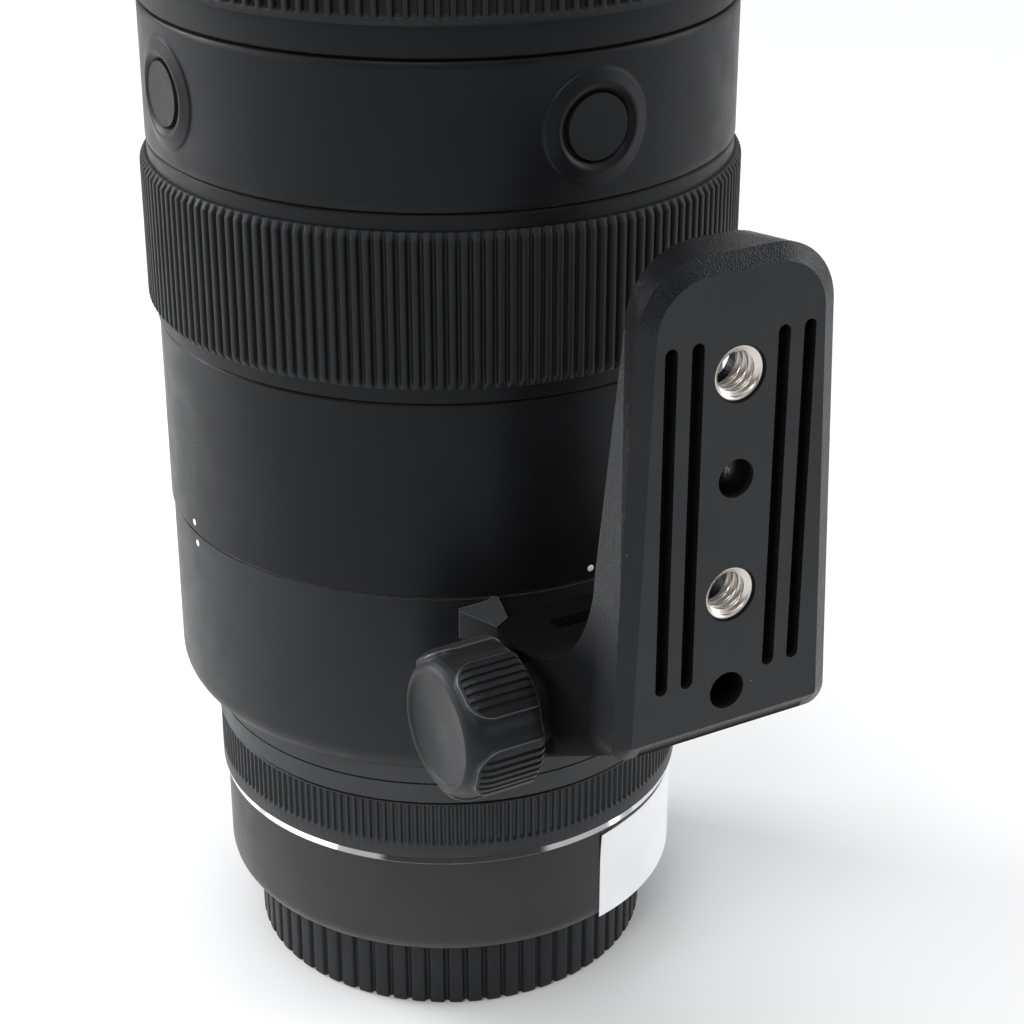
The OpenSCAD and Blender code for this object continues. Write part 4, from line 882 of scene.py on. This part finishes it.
FLOOR_HALF = 12.0
FLOOR_GRAIN_MM = 300
TENT_COLOUR = (0.97, 0.985, 1.0, 1)
OPENING = {"az": -112, "half": 39, "soft": 4, "top": 0.6, "fade": 0.1, "bright": 0.67, "dark": 0.06}
LAMPS = {
    "top_box": {"place": (-0.20, -0.10, 2.20), "aim": (0, 0, 0.10), "size": (1.2, 1.2), "power": 16.8},
    "front_box": {"place": (-1.00, -1.04, 1.46), "aim": (0, 0, 0.10), "size": (0.68, 0.60), "power": 11.6},
    "left_box": {"place": (-4.00, 1.50, 1.04), "aim": (0, 0, 0.09), "size": (4.5, 2.25), "power": 70},
    "floor_spot": {"place": (-0.38, 0.42, 0.30), "aim": (-0.17, 0.17, 0), "size": (0.2, 0.2), "power": 2.5},
    "right_box": {"place": (4.00, -1.60, 1.52), "aim": (0, 0, 0.08), "size": (2.67, 2.67), "power": 82},
}
CAMERA = {"place": (-0.15683, -0.29066, 0.22864), "pitch": 0.4482, "yaw": 0.0308, "turn": -28.35,
          "lens": 83.333, "sensor": 36}


def make_stage():
    """Plain pale floor."""
    mesh = bpy.data.meshes.new("floor")
    corners = [(-1, -1), (1, -1), (1, 1), (-1, 1)]
    mesh.from_pydata([(x * FLOOR_HALF, y * FLOOR_HALF, 0) for x, y in corners], [], [(0, 1, 2, 3)])
    floor = bpy.data.objects.new("floor", mesh)
    bpy.context.scene.collection.objects.link(floor)
    s = Shader("floor_white", Specular_IOR_Level=0.2, Roughness=0.7)
    s.colour(s.mix(s.spread(s.noise(FLOOR_GRAIN_MM), 0, 1), (0.79, 0.795, 0.80), (0.82, 0.825, 0.83)))
    mesh.materials.append(s.material)


def area_light(name, place, aim, size, power):
    """Soft box that the camera doesn't see."""
    data = bpy.data.lights.new(name, "AREA")
    data.shape = "RECTANGLE"
    data.size, data.size_y = size
    data.energy = power
    light = bpy.data.objects.new(name, data)
    light.location = place
    light.rotation_mode = "QUATERNION"
    light.rotation_quaternion = (Vector(aim) - Vector(place)).to_track_quat("-Z", "Y")
    light.visible_camera = False
    bpy.context.scene.collection.objects.link(light)


def make_tent():
    """World like a white studio tent: bright all round but for a dark opening on the camera's side."""
    world = bpy.data.worlds.new("studio")
    bpy.context.scene.world = world
    world.use_nodes = True
    tree = world.node_tree

    def step(value, low, high, a, b):
        node = tree.nodes.new("ShaderNodeMapRange")
        node.interpolation_type = "SMOOTHSTEP"
        for key, number in (("From Min", low), ("From Max", high), ("To Min", a), ("To Max", b)):
            node.inputs[key].default_value = number
        tree.links.new(value, node.inputs["Value"])
        return node.outputs["Result"]

    def calc(operation, *values):
        node = tree.nodes.new("ShaderNodeMath")
        node.operation = operation
        for socket, value in zip(node.inputs, values):
            if isinstance(value, (int, float)):
                socket.default_value = value
            else:
                tree.links.new(value, socket)
        return node.outputs["Value"]

    coords = tree.nodes.new("ShaderNodeTexCoord")
    split = tree.nodes.new("ShaderNodeSeparateXYZ")
    tree.links.new(coords.outputs["Generated"], split.inputs["Vector"])
    x, y, z = (split.outputs[axis] for axis in "XYZ")
    az, half, soft = (math.radians(OPENING[key]) for key in ("az", "half", "soft"))
    top, fade = OPENING["top"], OPENING["fade"]
    ahead = calc("ADD", calc("MULTIPLY", x, math.cos(az)), calc("MULTIPLY", y, math.sin(az)))
    level = calc("SQRT", calc("MAXIMUM", calc("SUBTRACT", 1.0, calc("MULTIPLY", z, z)), 1e-6))
    beside = step(calc("DIVIDE", ahead, level), math.cos(half + soft), math.cos(half - soft), 0, 1)
    inside = calc("MULTIPLY", beside, step(z, top - fade, top + fade, 1, 0))
    back = tree.nodes["Background"]
    back.inputs["Color"].default_value = TENT_COLOUR
    tree.links.new(step(inside, 0, 1, OPENING["bright"], OPENING["dark"]), back.inputs["Strength"])


def make_light():
    """Tent and the soft boxes in it."""
    make_tent()
    for name, lamp in LAMPS.items():
        area_light(name, **lamp)


def make_camera():
    """Camera fitted to the photo's ring ellipses, turned into the CAD frame."""
    data = bpy.data.cameras.new("camera")
    data.lens, data.sensor_width = CAMERA["lens"], CAMERA["sensor"]
    camera = bpy.data.objects.new("camera", data)
    camera.location = CAMERA["place"]
    pitch = CAMERA["pitch"]
    heading = math.pi / 2 - CAMERA["yaw"] + math.radians(CAMERA["turn"])
    level = math.cos(pitch)
    ahead = Vector((level * math.cos(heading), level * math.sin(heading), -math.sin(pitch)))
    camera.rotation_mode = "QUATERNION"
    camera.rotation_quaternion = ahead.to_track_quat("-Z", "Y")
    bpy.context.scene.collection.objects.link(camera)
    bpy.context.scene.camera = camera
    bpy.context.scene.view_settings.view_transform = "Standard"


dress_cad_nodes()
smooth_foot()
make_ribbed_rings()
make_band()
make_trim()
make_cap()
make_threads()
make_knob()
make_knob_dish()
make_marks()
make_label()
make_stage()
make_light()
make_camera()
